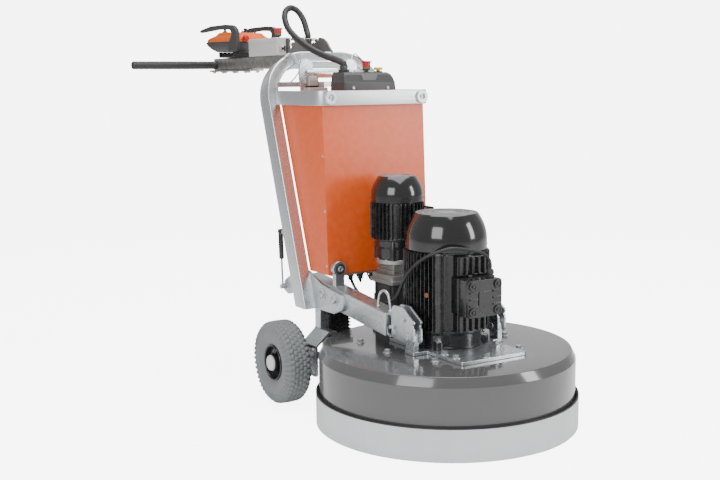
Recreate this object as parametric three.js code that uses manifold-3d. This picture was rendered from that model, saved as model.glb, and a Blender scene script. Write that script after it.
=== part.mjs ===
// Remote-controlled planetary floor grinder: a leaning steel hoop frame on two driven wheels carries an
// electrical cabinet and, on two arms, a round grinding head with its own motors. Millimetres, +Z up.
// The model is laid out about the grinding head's axis: -Y is ahead of the machine, +Y is the operator's
// side and the floor is z = 0. The last lines move the origin to the centre of the machine's base.
import * as THREE from 'three';
import { mergeVertices } from 'three/addons/utils/BufferGeometryUtils.js';
import Module from 'manifold-3d';

const wasm = await Module();
wasm.setup();

// ---- driving dimensions ----
const fit = 0.3;                    // gap between two pieces that touch
const overlap = 2;                  // how far welded stock runs into the piece it is welded to

// grinding head
const skirtRadius = 452;
const skirtWall = 6;
const skirtHeight = 111;
const skirtGap = 6;                 // between the skirt and the cover inside it
const coverWall = 4;
const coverLowerEdge = 60;
const coverShoulder = 235;
const coverTop = 265;
const coverBevel = 15;              // how far the top flat is set in from the side wall
const drumGap = 16;                 // drum to cover wall
const drumWall = 5;
const drumFloorBase = 32;
const drumFloorThickness = 8;
const drumCeiling = 72;
const drumPlate = 8;
const ringGearHeight = 24;
const ringGearRim = 12;
const gearModule = 7.5;             // of the ring gear and the pinion
const ringTeeth = 88;
const pinionTeeth = 8;
const satelliteTeeth = 30;          // the same on the sun gear
const satelliteGearGap = 4;         // satellite gear to drum wall
const satelliteGearBase = 46;
const satelliteGearHeight = 20;
const satelliteCount = 3;
const toolPlateInset = 2;           // grinding plate smaller than its gear
const toolPlateBase = 12;
const toolPlateThickness = 12;
const segmentCount = 6;
const spindleRadius = 25;
const mainShaftRadius = 22;
const shaftClearance = 4;           // round a shaft where it passes a plate

// main motor
const mainFinRadius = 147.6;
const mainCoreRadius = 124;
const mainBaseRadius = 130;
const mainBaseHeight = 53;
const mainBarrelHeight = 274;
const mainFinCount = 28;
const mainCowlRadius = 138;
const mainCowlHeight = 122;
const mainGrilleRadius = 106;
const yokePlateThickness = 12;
const yokePlateHalf = 134;
const yokePlateFront = 268;
const yokePlateRear = 160;
const yokePlateBevel = 14;
const terminalBoxWidth = 138;
const terminalBoxHeight = 124;
const terminalBoxFront = 222;
const terminalBoxBase = 400;
const cableGlandOffset = 39;

// planet motor and gearbox
const planetFinRadius = 98;
const planetCoreRadius = 82;
const planetFinCount = 20;
const planetCowlRadius = 95;
const planetGrilleRadius = 66;
const planetFlangeBase = 513;
const planetFlangeThickness = 15;
const planetBellHeight = 69;
const planetBarrelHeight = 140;
const planetCowlHeight = 94;
const gearboxHalf = 62;
const gearboxNeckHalf = 52;
const gearboxCollarHalf = 76;
const gearboxCollarBase = 442;
const gearboxCollarHeight = 31;

// arms, forks and head pivot
const armMotorGap = 0.4;            // arm's inner face to the motor's fins
const armWidth = 64;
const armDepth = 80;
const armWall = 5;
const armFront = 60;                // y of the arm's front end
const armTopFront = 389.5;          // height of the arm's top at its front end
const armSlope = 0.103;
const forkPlate = 8;
const forkGap = 21;                 // between a fork's two plates
const pivotBehind = -50;            // y of the head pivot
const pivotHeight = 320;
const pivotPinRadius = 10;
const lugThickness = 20;
const lugRadius = 24;
const pinClearance = 0.3;
const loopRadius = 34;
const loopRod = 5;

// wheels
const wheelRadius = 152;
const wheelWidth = 102;
const rimRadius = 66;
const wheelGap = 34.712;              // tyre to skirt
const wheelInset = 112;             // tyre's inner face outboard of the arm
const axleRadius = 14;
const legWidth = 36;
const legDepth = 42;
const legReach = 56;                // from the leg's outer face to its flange's outer face

// frame
const lean = 18.5 * Math.PI / 180;
const tubeWidth = 47;
const tubeDepth = 76;
const tubeWall = 5;
const sidePlate = 11.4;
const frameBottom = 330;
const frameTop = 1285;
const hoopRadius = 190;
const frameLugOffset = 101;          // hoop's lug plates from the middle
const footBehindAxle = 9;           // y of the upright's front face at frameBottom, from the axle

// cabinet
const cabinetBottom = 466;
const cabinetTop = 1130;
const cabinetWall = 3;
const cabinetInset = 2;             // cabinet side to the upright's inner face
const cabinetFrontAhead = 82;       // cabinet's front bottom edge ahead of the axle
const cabinetMotorGap = 15;           // least room between the planet motor's fins and the cabinet
const cabinetFrontLean = 0.048;
const cabinetFrameGap = 6;
const bandHeight = 53;
const bandThickness = 8;
const bandSideGap = 15;
const bandFrontGap = 13;
const bandRadius = 50;
const bandTopAbove = 3;
const discRadius = 25;
const topCoverWidth = 226;
const topCoverHeight = 69;
const topCoverDepth = 105;
const topCoverWall = 3;

// handle
const handlePivotBehind = 26;       // behind the hoop's rear face at the pivot's height
const handlePivotHeight = 1250;
const bossRadius = 22;
const boomWidth = 60;
const boomHeight = 53;
const boomLength = 862;
const boomWall = 4;
const flangeAhead = 386;            // reach of the plate under the boom, each way from the boom's rear end
const flangeBeyond = 46;
const gripRadius = 18.5;
const gripBarRadius = 14;
const gripLength = 409;
const gripBarSetback = 23;          // bar ahead of the boom's rear end
const sectorSpacing = 44;           // inner face of a sector plate from the centre plane
const sectorPlate = 8;
const sectorRadius = 92;
const notchDepth = 12;
const notchStep = 20 * Math.PI / 180;
const notchSteps = [-1, 0, 1];
const lockBarRadius = 6;
const lockRodRadius = 5;
const handlePinRadius = 10;
const leverPinRadius = 6;
const strutPinRadius = 4;
const controlBoxWidth = 70;
const controlBoxLength = 270;
const controlBoxHeight = 74;
const controlBoxStart = 220;        // from the handle pivot

// ---- building helpers ----
const steel = (color, roughness = 0.4) => new THREE.MeshStandardMaterial({ color, roughness,
  metalness: 0.8 });
const plastic = (color, roughness = 0.5) => new THREE.MeshStandardMaterial({ color, roughness,
  metalness: 0 });

const zinc = steel(0xbec6cb, 0.35);
const darkSteel = steel(0x6a6764);
const orangePaint = plastic(0xe96e34, 0.35);
const greyPaint = plastic(0x5c5c5e, 0.25);
const blackPaint = plastic(0x17171a, 0.3);
const blackPlastic = plastic(0x2c2d2f);
const warmGrey = plastic(0xd2d0ce);
const red = plastic(0xc82420, 0.3);
const rubber = plastic(0x3a3b3d, 0.8);

// a closed geometry as a manifold solid, with its faces pointing out
function solid(geometry) {
  const plain = geometry.clone();
  plain.deleteAttribute('normal');
  plain.deleteAttribute('uv');
  const merged = mergeVertices(plain, 1e-4);
  const vertProperties = new Float32Array(merged.attributes.position.array);
  const triVerts = new Uint32Array(merged.index.array);
  if (signedVolume(vertProperties, triVerts) < 0) {
    for (let i = 0; i < triVerts.length; i += 3) {
      [triVerts[i], triVerts[i + 1]] = [triVerts[i + 1], triVerts[i]];
    }
  }
  return new wasm.Manifold(new wasm.Mesh({ numProp: 3, vertProperties, triVerts }));
}

function signedVolume(points, triangles) {
  let volume = 0;
  const corner = i => new THREE.Vector3().fromArray(points, 3 * triangles[i]);
  for (let i = 0; i < triangles.length; i += 3) {
    volume += corner(i).dot(corner(i + 1).cross(corner(i + 2)));
  }
  return volume;
}

const join = (...pieces) => pieces.reduce((sum, piece) => sum.add(piece));
const cut = (body, ...tools) => tools.reduce((rest, tool) => rest.subtract(tool), body);

const root = new THREE.Group();

function surface(body) {
  const mesh = body.getMesh();
  const geometry = new THREE.BufferGeometry();
  geometry.setAttribute('position', new THREE.BufferAttribute(new Float32Array(mesh.vertProperties), 3));
  geometry.setIndex(new THREE.BufferAttribute(new Uint32Array(mesh.triVerts), 1));
  return geometry;
}

const transformed = (body, matrix) => solid(surface(body).applyMatrix4(matrix));

function addNode(name, body, material) {
  const geometry = surface(body);
  geometry.computeVertexNormals();
  const node = new THREE.Mesh(geometry, material);
  node.name = name;
  root.add(node);
  return node;
}

// a block between two corners
function block(x0, x1, y0, y1, z0, z1) {
  const geometry = new THREE.BoxGeometry(Math.abs(x1 - x0), Math.abs(y1 - y0), Math.abs(z1 - z0));
  return solid(geometry.translate((x0 + x1) / 2, (y0 + y1) / 2, (z0 + z1) / 2));
}

// a cylinder or cone between two points
function rod(from, to, radius, endRadius = radius, sides = 10) {
  const start = new THREE.Vector3(...from);
  const along = new THREE.Vector3(...to).sub(start);
  const geometry = new THREE.CylinderGeometry(endRadius, radius, along.length(), sides);
  const turn = new THREE.Quaternion().setFromUnitVectors(new THREE.Vector3(0, 1, 0),
    along.clone().normalize());
  geometry.applyQuaternion(turn);
  const middle = start.addScaledVector(along, 0.5);
  return solid(geometry.translate(middle.x, middle.y, middle.z));
}

// a round hole's tool, whose flats clear a shaft of the given radius
function bore(from, to, shaftRadius, clearance = pinClearance, sides = 12) {
  const radius = (shaftRadius + clearance) / Math.cos(Math.PI / sides);
  return rod(from, to, radius, radius, sides);
}

// a profile of [radius, height] pairs turned about the vertical through (x, y)
function turned(profile, sides = 24, x = 0, y = 0) {
  const points = profile.map(([radius, height]) => new THREE.Vector2(radius, height));
  const geometry = new THREE.LatheGeometry(points, sides);
  return solid(geometry.rotateX(Math.PI / 2).translate(x, y, 0));
}

// a ring's profile, closed on itself
const tubeProfile = (inner, outer, low, high) =>
  [[outer, low], [outer, high], [inner, high], [inner, low], [outer, low]];

function flatShape(points) {
  return new THREE.Shape(points.map(([u, v]) => new THREE.Vector2(u, v)));
}

function extruded(shape, depth, curveSegments = 5) {
  return new THREE.ExtrudeGeometry(shape, { depth, bevelEnabled: false, curveSegments });
}

// an outline in plan, raised from z0
const plan = (shape, z0, height, curveSegments) =>
  solid(extruded(shape, height, curveSegments).translate(0, 0, z0));

// an outline of [y, z] points, as thick as x0 to x1
function sideOn(shape, x0, x1, curveSegments = 5) {
  const geometry = extruded(shape, Math.abs(x1 - x0), curveSegments);
  geometry.rotateY(Math.PI / 2).rotateX(Math.PI / 2);
  return solid(geometry.translate(Math.min(x0, x1), 0, 0));
}

// an outline of [x, z] points, from y0 to y1
function frontOn(shape, y0, y1, curveSegments = 5) {
  const geometry = extruded(shape, y1 - y0, curveSegments).rotateX(Math.PI / 2);
  return solid(geometry.translate(0, y1, 0));
}

// a round bar along a smooth curve through points
function bar(points, radius, steps, sides = 8) {
  const curve = new THREE.CatmullRomCurve3(points.map(p => new THREE.Vector3(...p)), false, 'centripetal');
  const section = new THREE.Shape();
  for (let i = 0; i < sides; i += 1) {
    const angle = 2 * Math.PI * i / sides;
    const point = [radius * Math.cos(angle), radius * Math.sin(angle)];
    if (i === 0) section.moveTo(...point);
    else section.lineTo(...point);
  }
  section.closePath();
  return solid(new THREE.ExtrudeGeometry(section, { steps, extrudePath: curve, bevelEnabled: false }));
}

// a rectangle with round corners, centred on (u, v)
function roundedRectangle(width, height, radius, u = 0, v = 0) {
  const shape = new THREE.Shape();
  const [w, h] = [width / 2, height / 2];
  shape.moveTo(u - w + radius, v - h);
  shape.lineTo(u + w - radius, v - h);
  shape.absarc(u + w - radius, v - h + radius, radius, -Math.PI / 2, 0);
  shape.absarc(u + w - radius, v + h - radius, radius, 0, Math.PI / 2);
  shape.absarc(u - w + radius, v + h - radius, radius, Math.PI / 2, Math.PI);
  shape.absarc(u - w + radius, v - h + radius, radius, Math.PI, 1.5 * Math.PI);
  return shape;
}

// pointed gear teeth: tips at the first angle and every tooth after it
function toothedOutline(teeth, tipRadius, rootRadius, firstAngle = 0) {
  const points = [];
  for (let i = 0; i < 2 * teeth; i += 1) {
    const angle = firstAngle + Math.PI * i / teeth;
    const radius = i % 2 === 0 ? tipRadius : rootRadius;
    points.push([radius * Math.cos(angle), radius * Math.sin(angle)]);
  }
  return flatShape(points);
}

// a motor barrel with cooling fins down its side
function finnedBarrel(coreRadius, finRadius, count, base, height, y = 0) {
  const points = [];
  const finAngle = 0.35 * 2 * Math.PI / count;
  for (let i = 0; i < count; i += 1) {
    const middle = 2 * Math.PI * i / count;
    for (const [radius, offset] of [[coreRadius, -1], [finRadius, -0.6], [finRadius, 0.6], [coreRadius, 1]]) {
      const angle = middle + offset * finAngle / 2;
      points.push([radius * Math.cos(angle), radius * Math.sin(angle)]);
    }
  }
  return moved(plan(flatShape(points), base, height), 0, y, 0);
}

const mirrored = body => transformed(body, new THREE.Matrix4().makeScale(-1, 1, 1));
const moved = (body, x, y, z) => transformed(body, new THREE.Matrix4().makeTranslation(x, y, z));

// one piece for each side of the machine; the body given is the one on the +X side
function addPair(name, body, material) {
  addNode(`${name}_right`, body, material);
  addNode(`${name}_left`, mirrored(body), material);
}

// ---- places that several pieces share ----
const coverRadius = skirtRadius - skirtWall - skirtGap;
const coverInner = coverRadius - coverWall;
const planetMotorY = gearModule * (ringTeeth - pinionTeeth) / 2;
const headDeck = coverTop + fit;                       // what is bolted on the cover stands here
const motorDeck = headDeck + yokePlateThickness + fit;

const armInner = mainFinRadius + armMotorGap;
const armOuter = armInner + armWidth;
const armMiddle = (armInner + armOuter) / 2;
const uprightInner = armOuter + sidePlate + fit;
const uprightOuter = uprightInner + tubeWidth;
const cabinetHalf = uprightInner - cabinetInset;
const armTop = y => armTopFront + armSlope * (y - armFront);

const tyreInner = armOuter + wheelInset;
const axleBehindSkirt = Math.sqrt(skirtRadius ** 2 - Math.min(tyreInner,
  skirtRadius) ** 2) + wheelRadius + wheelGap;
const axleBehindMotor = planetMotorY + planetFinRadius + cabinetMotorGap + cabinetFrontAhead;
const axleY = Math.max(axleBehindSkirt, axleBehindMotor);
const frameFootY = axleY + footBehindAxle;
const frameFront = z => frameFootY + Math.tan(lean) * (z - frameBottom);
const frameRear = z => frameFront(z) + tubeDepth / Math.cos(lean);
const cabinetFront = z => axleY - cabinetFrontAhead + cabinetFrontLean * (z - cabinetBottom);
const cabinetRear = z => frameFront(z) - cabinetFrameGap;
const handlePivotY = frameRear(handlePivotHeight) + handlePivotBehind;

// ---- grinding head: cover, skirt and gear drum ----
function headCover() {
  const innerBevel = coverBevel - 1;
  const shell = turned([
    [coverRadius, coverLowerEdge], [coverRadius, coverShoulder],
    [coverRadius - coverBevel, coverTop], [0, coverTop], [0, coverTop - coverWall],
    [coverInner - innerBevel, coverTop - coverWall], [coverInner, coverShoulder - 1],
    [coverInner, coverLowerEdge], [coverRadius, coverLowerEdge],
  ], 48);
  const shaftHole = rod([0, 0, coverShoulder], [0, 0, coverTop + 1], mainShaftRadius + shaftClearance);
  const pinionHole = rod([0, planetMotorY, coverShoulder], [0, planetMotorY, coverTop + 1], gearboxHalf / 2);
  return cut(shell, shaftHole, pinionHole);
}

addNode('head_cover', headCover(), greyPaint);
addNode('dust_skirt', turned(tubeProfile(skirtRadius - skirtWall, skirtRadius, 0, skirtHeight), 48),
  plastic(0xe1e3e5, 0.6));

const drumRadius = coverInner - drumGap;
const drumTop = drumCeiling + drumPlate;
const ringPitch = gearModule * ringTeeth / 2;
const pinionPitch = gearModule * pinionTeeth / 2;
const satellitePitch = (drumRadius - drumWall - satelliteGearGap) / 3;
const satelliteOrbit = 2 * satellitePitch;
const satelliteAngle = i => Math.PI / 2 + 2 * Math.PI * i / satelliteCount;
const satelliteAt = i => [satelliteOrbit * Math.cos(satelliteAngle(i)),
  satelliteOrbit * Math.sin(satelliteAngle(i))];

// the drum turns about the head's axis; its ring gear stands on top and its satellites hang inside
function gearDrum() {
  const pan = turned([
    [drumRadius, drumFloorBase], [drumRadius, drumTop], [0, drumTop], [0, drumCeiling],
    [drumRadius - drumWall, drumCeiling], [drumRadius - drumWall, drumFloorBase], [drumRadius, drumFloorBase],
  ], 48);
  const rim = new THREE.Shape();
  rim.absarc(0, 0, ringPitch + ringGearRim, 0, 2 * Math.PI);
  rim.holes.push(toothedOutline(ringTeeth, ringPitch + 5, ringPitch - 2.5));
  const ring = plan(rim, drumTop - 1, ringGearHeight + 1, 24);
  const shaftHole = rod([0, 0, drumCeiling - 1], [0, 0, drumTop + 1], mainShaftRadius + shaftClearance);
  return cut(join(pan, ring), shaftHole);
}

function drumFloor() {
  const disc = turned([
    [0, drumFloorBase], [drumRadius - drumWall - fit, drumFloorBase],
    [drumRadius - drumWall - fit, drumFloorBase + drumFloorThickness],
    [0, drumFloorBase + drumFloorThickness],
  ], 48);
  const holes = [];
  for (let i = 0; i < satelliteCount; i += 1) {
    const [x, y] = satelliteAt(i);
    holes.push(rod([x, y, 0], [x, y, drumCeiling], spindleRadius + shaftClearance));
  }
  return cut(disc, ...holes);
}

// a satellite is one turning piece: spindle, gear, grinding plate and its diamond segments
function satellite(i) {
  const [x, y] = satelliteAt(i);
  const plateRadius = satellitePitch - toolPlateInset;
  const halfTooth = Math.PI / satelliteTeeth;
  const gear = plan(toothedOutline(satelliteTeeth, satellitePitch + 2, satellitePitch - 7, halfTooth),
    satelliteGearBase, satelliteGearHeight);
  const spindle = rod([0, 0, toolPlateBase], [0, 0, drumCeiling - 3], spindleRadius);
  const plateTop = toolPlateBase + toolPlateThickness;
  const plate = turned([[0, toolPlateBase], [plateRadius, toolPlateBase], [plateRadius, plateTop],
    [0, plateTop]], 24);
  const segments = [];
  for (let k = 0; k < segmentCount; k += 1) {
    const segment = block(plateRadius - 45, plateRadius - 10, -20, 20, 0, toolPlateBase + overlap);
    segments.push(transformed(segment, new THREE.Matrix4().makeRotationZ(2 * Math.PI * k / segmentCount)));
  }
  return moved(join(plate, spindle, gear, ...segments), x, y, 0);
}

addNode('gear_drum', gearDrum(), darkSteel);
addNode('drum_floor', drumFloor(), darkSteel);
for (let i = 0; i < satelliteCount; i += 1) addNode(`satellite_${i + 1}`, satellite(i), darkSteel);

const sunGear = plan(toothedOutline(satelliteTeeth, satellitePitch + 2, satellitePitch - 7,
  Math.PI / satelliteTeeth + Math.PI / 2), satelliteGearBase, satelliteGearHeight);
addNode('main_shaft', join(sunGear,
  rod([0, 0, satelliteGearBase], [0, 0, motorDeck - fit], mainShaftRadius)), darkSteel);
const pinion = plan(toothedOutline(pinionTeeth, pinionPitch + 2.5, pinionPitch - 5, Math.PI / 2), drumTop + 2,
  ringGearHeight - 4);
addNode('drive_pinion', moved(join(pinion,
  rod([0, 0, drumTop + 2], [0, 0, headDeck - fit], mainShaftRadius - 6)), 0, planetMotorY, 0), darkSteel);

// ---- main motor on its yoke plate ----
const forkMiddle = armMiddle - 3;
const lugInner = forkMiddle - lugThickness / 2;
const lugOuter = forkMiddle + lugThickness / 2;

function headYoke() {
  const bevel = yokePlateBevel;
  const [earFront, earRear] = [pivotBehind - lugRadius - 4, pivotBehind + lugRadius + 4];
  const outline = flatShape([
    [-yokePlateHalf + bevel, -yokePlateFront], [yokePlateHalf - bevel, -yokePlateFront],
    [yokePlateHalf, -yokePlateFront + bevel], [yokePlateHalf, earFront], [lugOuter + 4, earFront],
    [lugOuter + 4, earRear], [yokePlateHalf, earRear], [yokePlateHalf, yokePlateRear - bevel],
    [yokePlateHalf - bevel, yokePlateRear], [-yokePlateHalf + bevel, yokePlateRear],
    [-yokePlateHalf, yokePlateRear - bevel], [-yokePlateHalf, earRear], [-lugOuter - 4, earRear],
    [-lugOuter - 4, earFront], [-yokePlateHalf, earFront], [-yokePlateHalf, -yokePlateFront + bevel],
  ]);
  const plate = plan(outline, headDeck, yokePlateThickness);
  const ear = new THREE.Shape();
  const foot = headDeck + yokePlateThickness - overlap;
  ear.moveTo(pivotBehind + lugRadius, foot);
  ear.lineTo(pivotBehind + lugRadius, pivotHeight);
  ear.absarc(pivotBehind, pivotHeight, lugRadius, 0, Math.PI);
  ear.lineTo(pivotBehind - lugRadius, foot);
  const lug = sideOn(ear, lugInner, lugOuter);
  const drilled = cut(lug,
    bore([lugInner - 1, pivotBehind, pivotHeight], [lugOuter + 1, pivotBehind, pivotHeight], pivotPinRadius));
  const shaftHole = rod([0, 0, headDeck - 1], [0, 0, motorDeck + 1], mainShaftRadius + shaftClearance);
  return cut(join(plate, drilled, mirrored(drilled)), shaftHole);
}

addNode('head_yoke', headYoke(), zinc);

const barrelBase = motorDeck + mainBaseHeight;
const barrelTop = barrelBase + mainBarrelHeight;
const terminalHalf = terminalBoxWidth / 2;
const base = turned([
  [0, motorDeck], [mainBaseRadius, motorDeck], [mainBaseRadius, motorDeck + 14],
  [mainCoreRadius, motorDeck + 20],
  [mainCoreRadius, barrelBase + 1], [0, barrelBase + 1],
]);
addNode('main_motor', join(base,
  finnedBarrel(mainCoreRadius, mainFinRadius, mainFinCount, barrelBase, mainBarrelHeight),
  block(-terminalHalf + 8, terminalHalf - 8, -mainFinRadius - 4, -mainCoreRadius + 10,
    terminalBoxBase + 6, terminalBoxBase + terminalBoxHeight - 6)), blackPaint);
addNode('terminal_box', join(
  block(-terminalHalf, terminalHalf, -terminalBoxFront, -mainFinRadius - 4 - fit,
    terminalBoxBase, terminalBoxBase + terminalBoxHeight),
  rod([cableGlandOffset, -terminalBoxFront + 32, terminalBoxBase + terminalBoxHeight - overlap],
    [cableGlandOffset, -terminalBoxFront + 32, terminalBoxBase + terminalBoxHeight + 30], 13)), blackPaint);
const cowlBase = barrelTop + fit;

// the share of its height and of its curve inwards that a fan cowl has reached at each turn of its profile
const cowlCurve = [[0, 0], [0.4, 0.02], [0.71, 0.28], [0.88, 0.68], [0.98, 1]];

function fanCowl(radius, grilleRadius, base, height) {
  const side = cowlCurve.map(([share, bend]) => [radius - bend * (radius - grilleRadius),
    base + share * height]);
  return turned([[0, base], ...side, [grilleRadius - 4, base + height], [0, base + height]]);
}

addNode('main_motor_cowl', fanCowl(mainCowlRadius, mainGrilleRadius, cowlBase, mainCowlHeight), blackPaint);

// ---- planet motor on its gearbox ----
const atPlanet = body => moved(body, 0, planetMotorY, 0);
addNode('planet_gearbox', atPlanet(join(
  plan(roundedRectangle(2 * gearboxHalf, 2 * gearboxHalf, 12), headDeck, gearboxCollarBase - headDeck + 1, 2),
  plan(roundedRectangle(2 * gearboxCollarHalf, 2 * gearboxCollarHalf, 16), gearboxCollarBase,
    gearboxCollarHeight, 2),
  plan(roundedRectangle(2 * gearboxNeckHalf, 2 * gearboxNeckHalf, 10),
    gearboxCollarBase + gearboxCollarHeight - 1,
    planetFlangeBase - gearboxCollarBase - gearboxCollarHeight + 1 - fit, 2))), steel(0x7a7972, 0.5));
const bellBase = planetFlangeBase + planetFlangeThickness;
const planetBarrelBase = bellBase + planetBellHeight;
const planetCowlBase = planetBarrelBase + planetBarrelHeight + fit;
addNode('planet_motor', atPlanet(join(
  turned([
    [0, planetFlangeBase], [gearboxCollarHalf, planetFlangeBase], [gearboxCollarHalf, bellBase],
    [planetCoreRadius - 6, bellBase], [planetCoreRadius - 6, bellBase + 40],
    [planetCoreRadius, planetBarrelBase + 1], [0, planetBarrelBase + 1],
  ]),
  finnedBarrel(planetCoreRadius, planetFinRadius, planetFinCount, planetBarrelBase, planetBarrelHeight))),
    blackPaint);
addNode('planet_motor_cowl', atPlanet(
  fanCowl(planetCowlRadius, planetGrilleRadius, planetCowlBase, planetCowlHeight)), blackPaint);

// ---- arms and forks ----
const armRear = frameFront(armTopFront + 60) + 60;
const armBottom = y => armTop(y) - armDepth;

function arm() {
  const side = (inset, y0, y1) => flatShape([
    [y0, armBottom(y0) + inset], [y1, armBottom(y1) + inset], [y1, armTop(y1) - inset],
    [y0, armTop(y0) - inset],
  ]);
  const tube = cut(sideOn(side(0, armFront, armRear), armInner, armOuter),
    sideOn(side(armWall, armFront + 8, armRear + 10), armInner + armWall, armOuter - armWall));
  const postY = axleY - cabinetFrontAhead - 12;
  const postHead = new THREE.Shape();
  const postX = armMiddle + 8;
  const postHeight = armTop(postY) + 66;
  postHead.moveTo(postX - 20, armTop(postY) - overlap);
  postHead.lineTo(postX + 20, armTop(postY) - overlap);
  postHead.lineTo(postX + 20, postHeight - 20);
  postHead.absarc(postX, postHeight, 28, -Math.PI / 4, 1.25 * Math.PI);
  const post = join(frontOn(postHead, postY - 14, postY + 8),
    rod([postX, postY - 13, postHeight], [postX, postY - 22, postHeight], 18));
  const loopY = armFront + 52;
  const ground = armTop(loopY);
  const loop = bar([
    [armMiddle, loopY - loopRadius - 6, ground - 4], [armMiddle, loopY - loopRadius, ground + 24],
    [armMiddle, loopY - 0.72 * loopRadius, ground + 48], [armMiddle, loopY, ground + 60],
    [armMiddle, loopY + 0.72 * loopRadius, ground + 50], [armMiddle, loopY + loopRadius, ground + 28],
    [armMiddle, loopY + loopRadius + 6, ground + 1],
  ], loopRod, 10);
  return join(tube, post, loop);
}

// two plates ahead of the arm's end, with the pin that the head hangs on
function fork() {
  const back = armFront - fit;
  const top = armTop(armFront);
  const cheek = flatShape([
    [back, armBottom(armFront)], [pivotBehind - 20, pivotHeight - 20], [pivotBehind - 34, pivotHeight - 8],
    [pivotBehind - 34, pivotHeight + 36], [pivotBehind - 26, pivotHeight + 44],
    [pivotBehind - 36, pivotHeight + 60],
    [pivotBehind + 4, top + 14], [pivotBehind + 30, top + 32], [back - 24, top + 30], [back, top - 2],
  ]);
  const inner = forkMiddle - forkGap / 2;
  const outer = forkMiddle + forkGap / 2;
  const cheeks = join(sideOn(cheek, inner - forkPlate, inner), sideOn(cheek, outer, outer + forkPlate));
  const bridge = block(inner - forkPlate, outer + forkPlate, back - 12, back, armBottom(armFront) + 6,
    top - 6);
  const pin = rod([inner - forkPlate - 4, pivotBehind, pivotHeight],
    [outer + forkPlate + 6, pivotBehind, pivotHeight],
    pivotPinRadius);
  return join(cheeks, bridge, pin);
}

addPair('arm', arm(), zinc);
addPair('head_fork', fork(), zinc);

// ---- frame: leaning hoop with its side plates, cross bar and lugs ----
function hoopOutline(outer, inner, top, bottom, radius) {
  const shape = new THREE.Shape();
  const innerRadius = radius - (outer - inner);
  shape.moveTo(-outer, bottom);
  shape.lineTo(-inner, bottom);
  shape.absarc(-inner + innerRadius, top - (outer - inner) - innerRadius, innerRadius, Math.PI, Math.PI / 2,
    true);
  shape.absarc(inner - innerRadius, top - (outer - inner) - innerRadius, innerRadius, Math.PI / 2, 0, true);
  shape.lineTo(inner, bottom);
  shape.lineTo(outer, bottom);
  shape.absarc(outer - radius, top - radius, radius, 0, Math.PI / 2);
  shape.absarc(-outer + radius, top - radius, radius, Math.PI / 2, Math.PI);
  return shape;
}

// the hoop's tube, grown by a margin on every face
function hoopStock(margin) {
  const top = (frameTop - frameBottom) / Math.cos(lean) + margin;
  const outline = hoopOutline(uprightOuter + margin, uprightInner - margin, top, -100, hoopRadius + margin);
  const upright = frontOn(outline, -margin, tubeDepth + margin, 5);
  const leaning = transformed(upright, new THREE.Matrix4().makeRotationX(-lean));
  return moved(leaning, 0, frameFootY, frameBottom);
}

function sidePlateOutline() {
  const front = armFront + 0.5 * (axleY - armFront) + 38;
  const shape = new THREE.Shape();
  shape.moveTo(frameRear(frameBottom) - 12, frameBottom);
  shape.lineTo(frameRear(cabinetBottom - 4) - 12, cabinetBottom - 4);
  shape.lineTo(frameFront(cabinetBottom - 4) + 8, cabinetBottom - 4);
  shape.lineTo(axleY - 30, armTop(axleY - 30) - 4);
  shape.lineTo(front + 26, armTop(front) - 6);
  shape.absarc(front + 26, armTop(front) - 38, 32, Math.PI / 2, Math.PI * 1.3);
  shape.lineTo(front + 60, frameBottom);
  return shape;
}

function frameHoop() {
  const floorCut = block(-uprightOuter - 50, uprightOuter + 50, 0, frameFootY + 600, 0, frameBottom);
  const hollow = cut(hoopStock(0), hoopStock(-tubeWall));
  const hoop = cut(hollow, floorCut);
  const plateOuter = uprightInner + overlap;
  const plateBolts = [0.25, 1.1].map(share => {
    const y = axleY - 20 - share * 100;
    const z = armTop(y) - 0.55 * armDepth + 6;
    return rod([armOuter + fit + sidePlate - 1, y, z], [armOuter + fit + sidePlate + 9, y, z], 12, 12, 6);
  });
  const plate = join(sideOn(sidePlateOutline(), armOuter + fit, plateOuter), ...plateBolts);
  const barHeight = cabinetTop + 26;
  const barFront = frameFront(barHeight) - 2;
  const crossBar = block(-uprightInner - overlap, uprightInner + overlap, barFront, barFront + 28,
    barHeight - 10, barHeight + 10);
  const lugShape = new THREE.Shape();
  const lugX = frameLugOffset;
  lugShape.moveTo(lugX - 24, cabinetTop + fit);
  lugShape.lineTo(lugX + 24, cabinetTop + fit);
  lugShape.lineTo(lugX + 30, cabinetTop + 50);
  lugShape.absarc(lugX, cabinetTop + 94, 30, 0, Math.PI);
  lugShape.lineTo(lugX - 30, cabinetTop + 50);
  const lug = frontOn(lugShape, barFront - 10, barFront + 1);
  const spacerTube = rod([-lugX, barFront - 5, cabinetTop + 67], [lugX, barFront - 5, cabinetTop + 67], 17);
  const adapterY = frameRear(frameTop) - 26;
  const adapter = rod([hoseEntryX, adapterY, frameTop - 30], [hoseEntryX, adapterY, frameTop + 50], 12);
  const strutEar = sideOn(flatShape([
    [frameRear(455) - 6, 455], [frameRear(455) + 34, 448], [frameRear(425) + 44, 412],
    [frameRear(395) - 6, 390],
  ]), strutX + 19, strutX + 27);
  const strutPin = rod([strutX + 8, strutPivotY, strutPivotZ], [strutX + 20, strutPivotY, strutPivotZ],
    leverPinRadius);
  const strutStud = rod([strutX, strutTopY, strutTopZ], [strutX, frameRear(strutTopZ) - 4, strutTopZ],
    strutPinRadius);
  return join(hoop, plate, mirrored(plate), crossBar, lug, mirrored(lug), spacerTube, adapter,
    strutEar, strutPin, strutStud);
}

const hoseEntryX = -30;
const strutX = -uprightOuter + 9;
const strutTopZ = 601;
const strutTopY = frameRear(strutTopZ) + 29;
const strutPivotZ = 425;
const strutPivotY = frameRear(strutPivotZ) + 24;
addNode('frame_hoop', frameHoop(), zinc);

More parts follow.
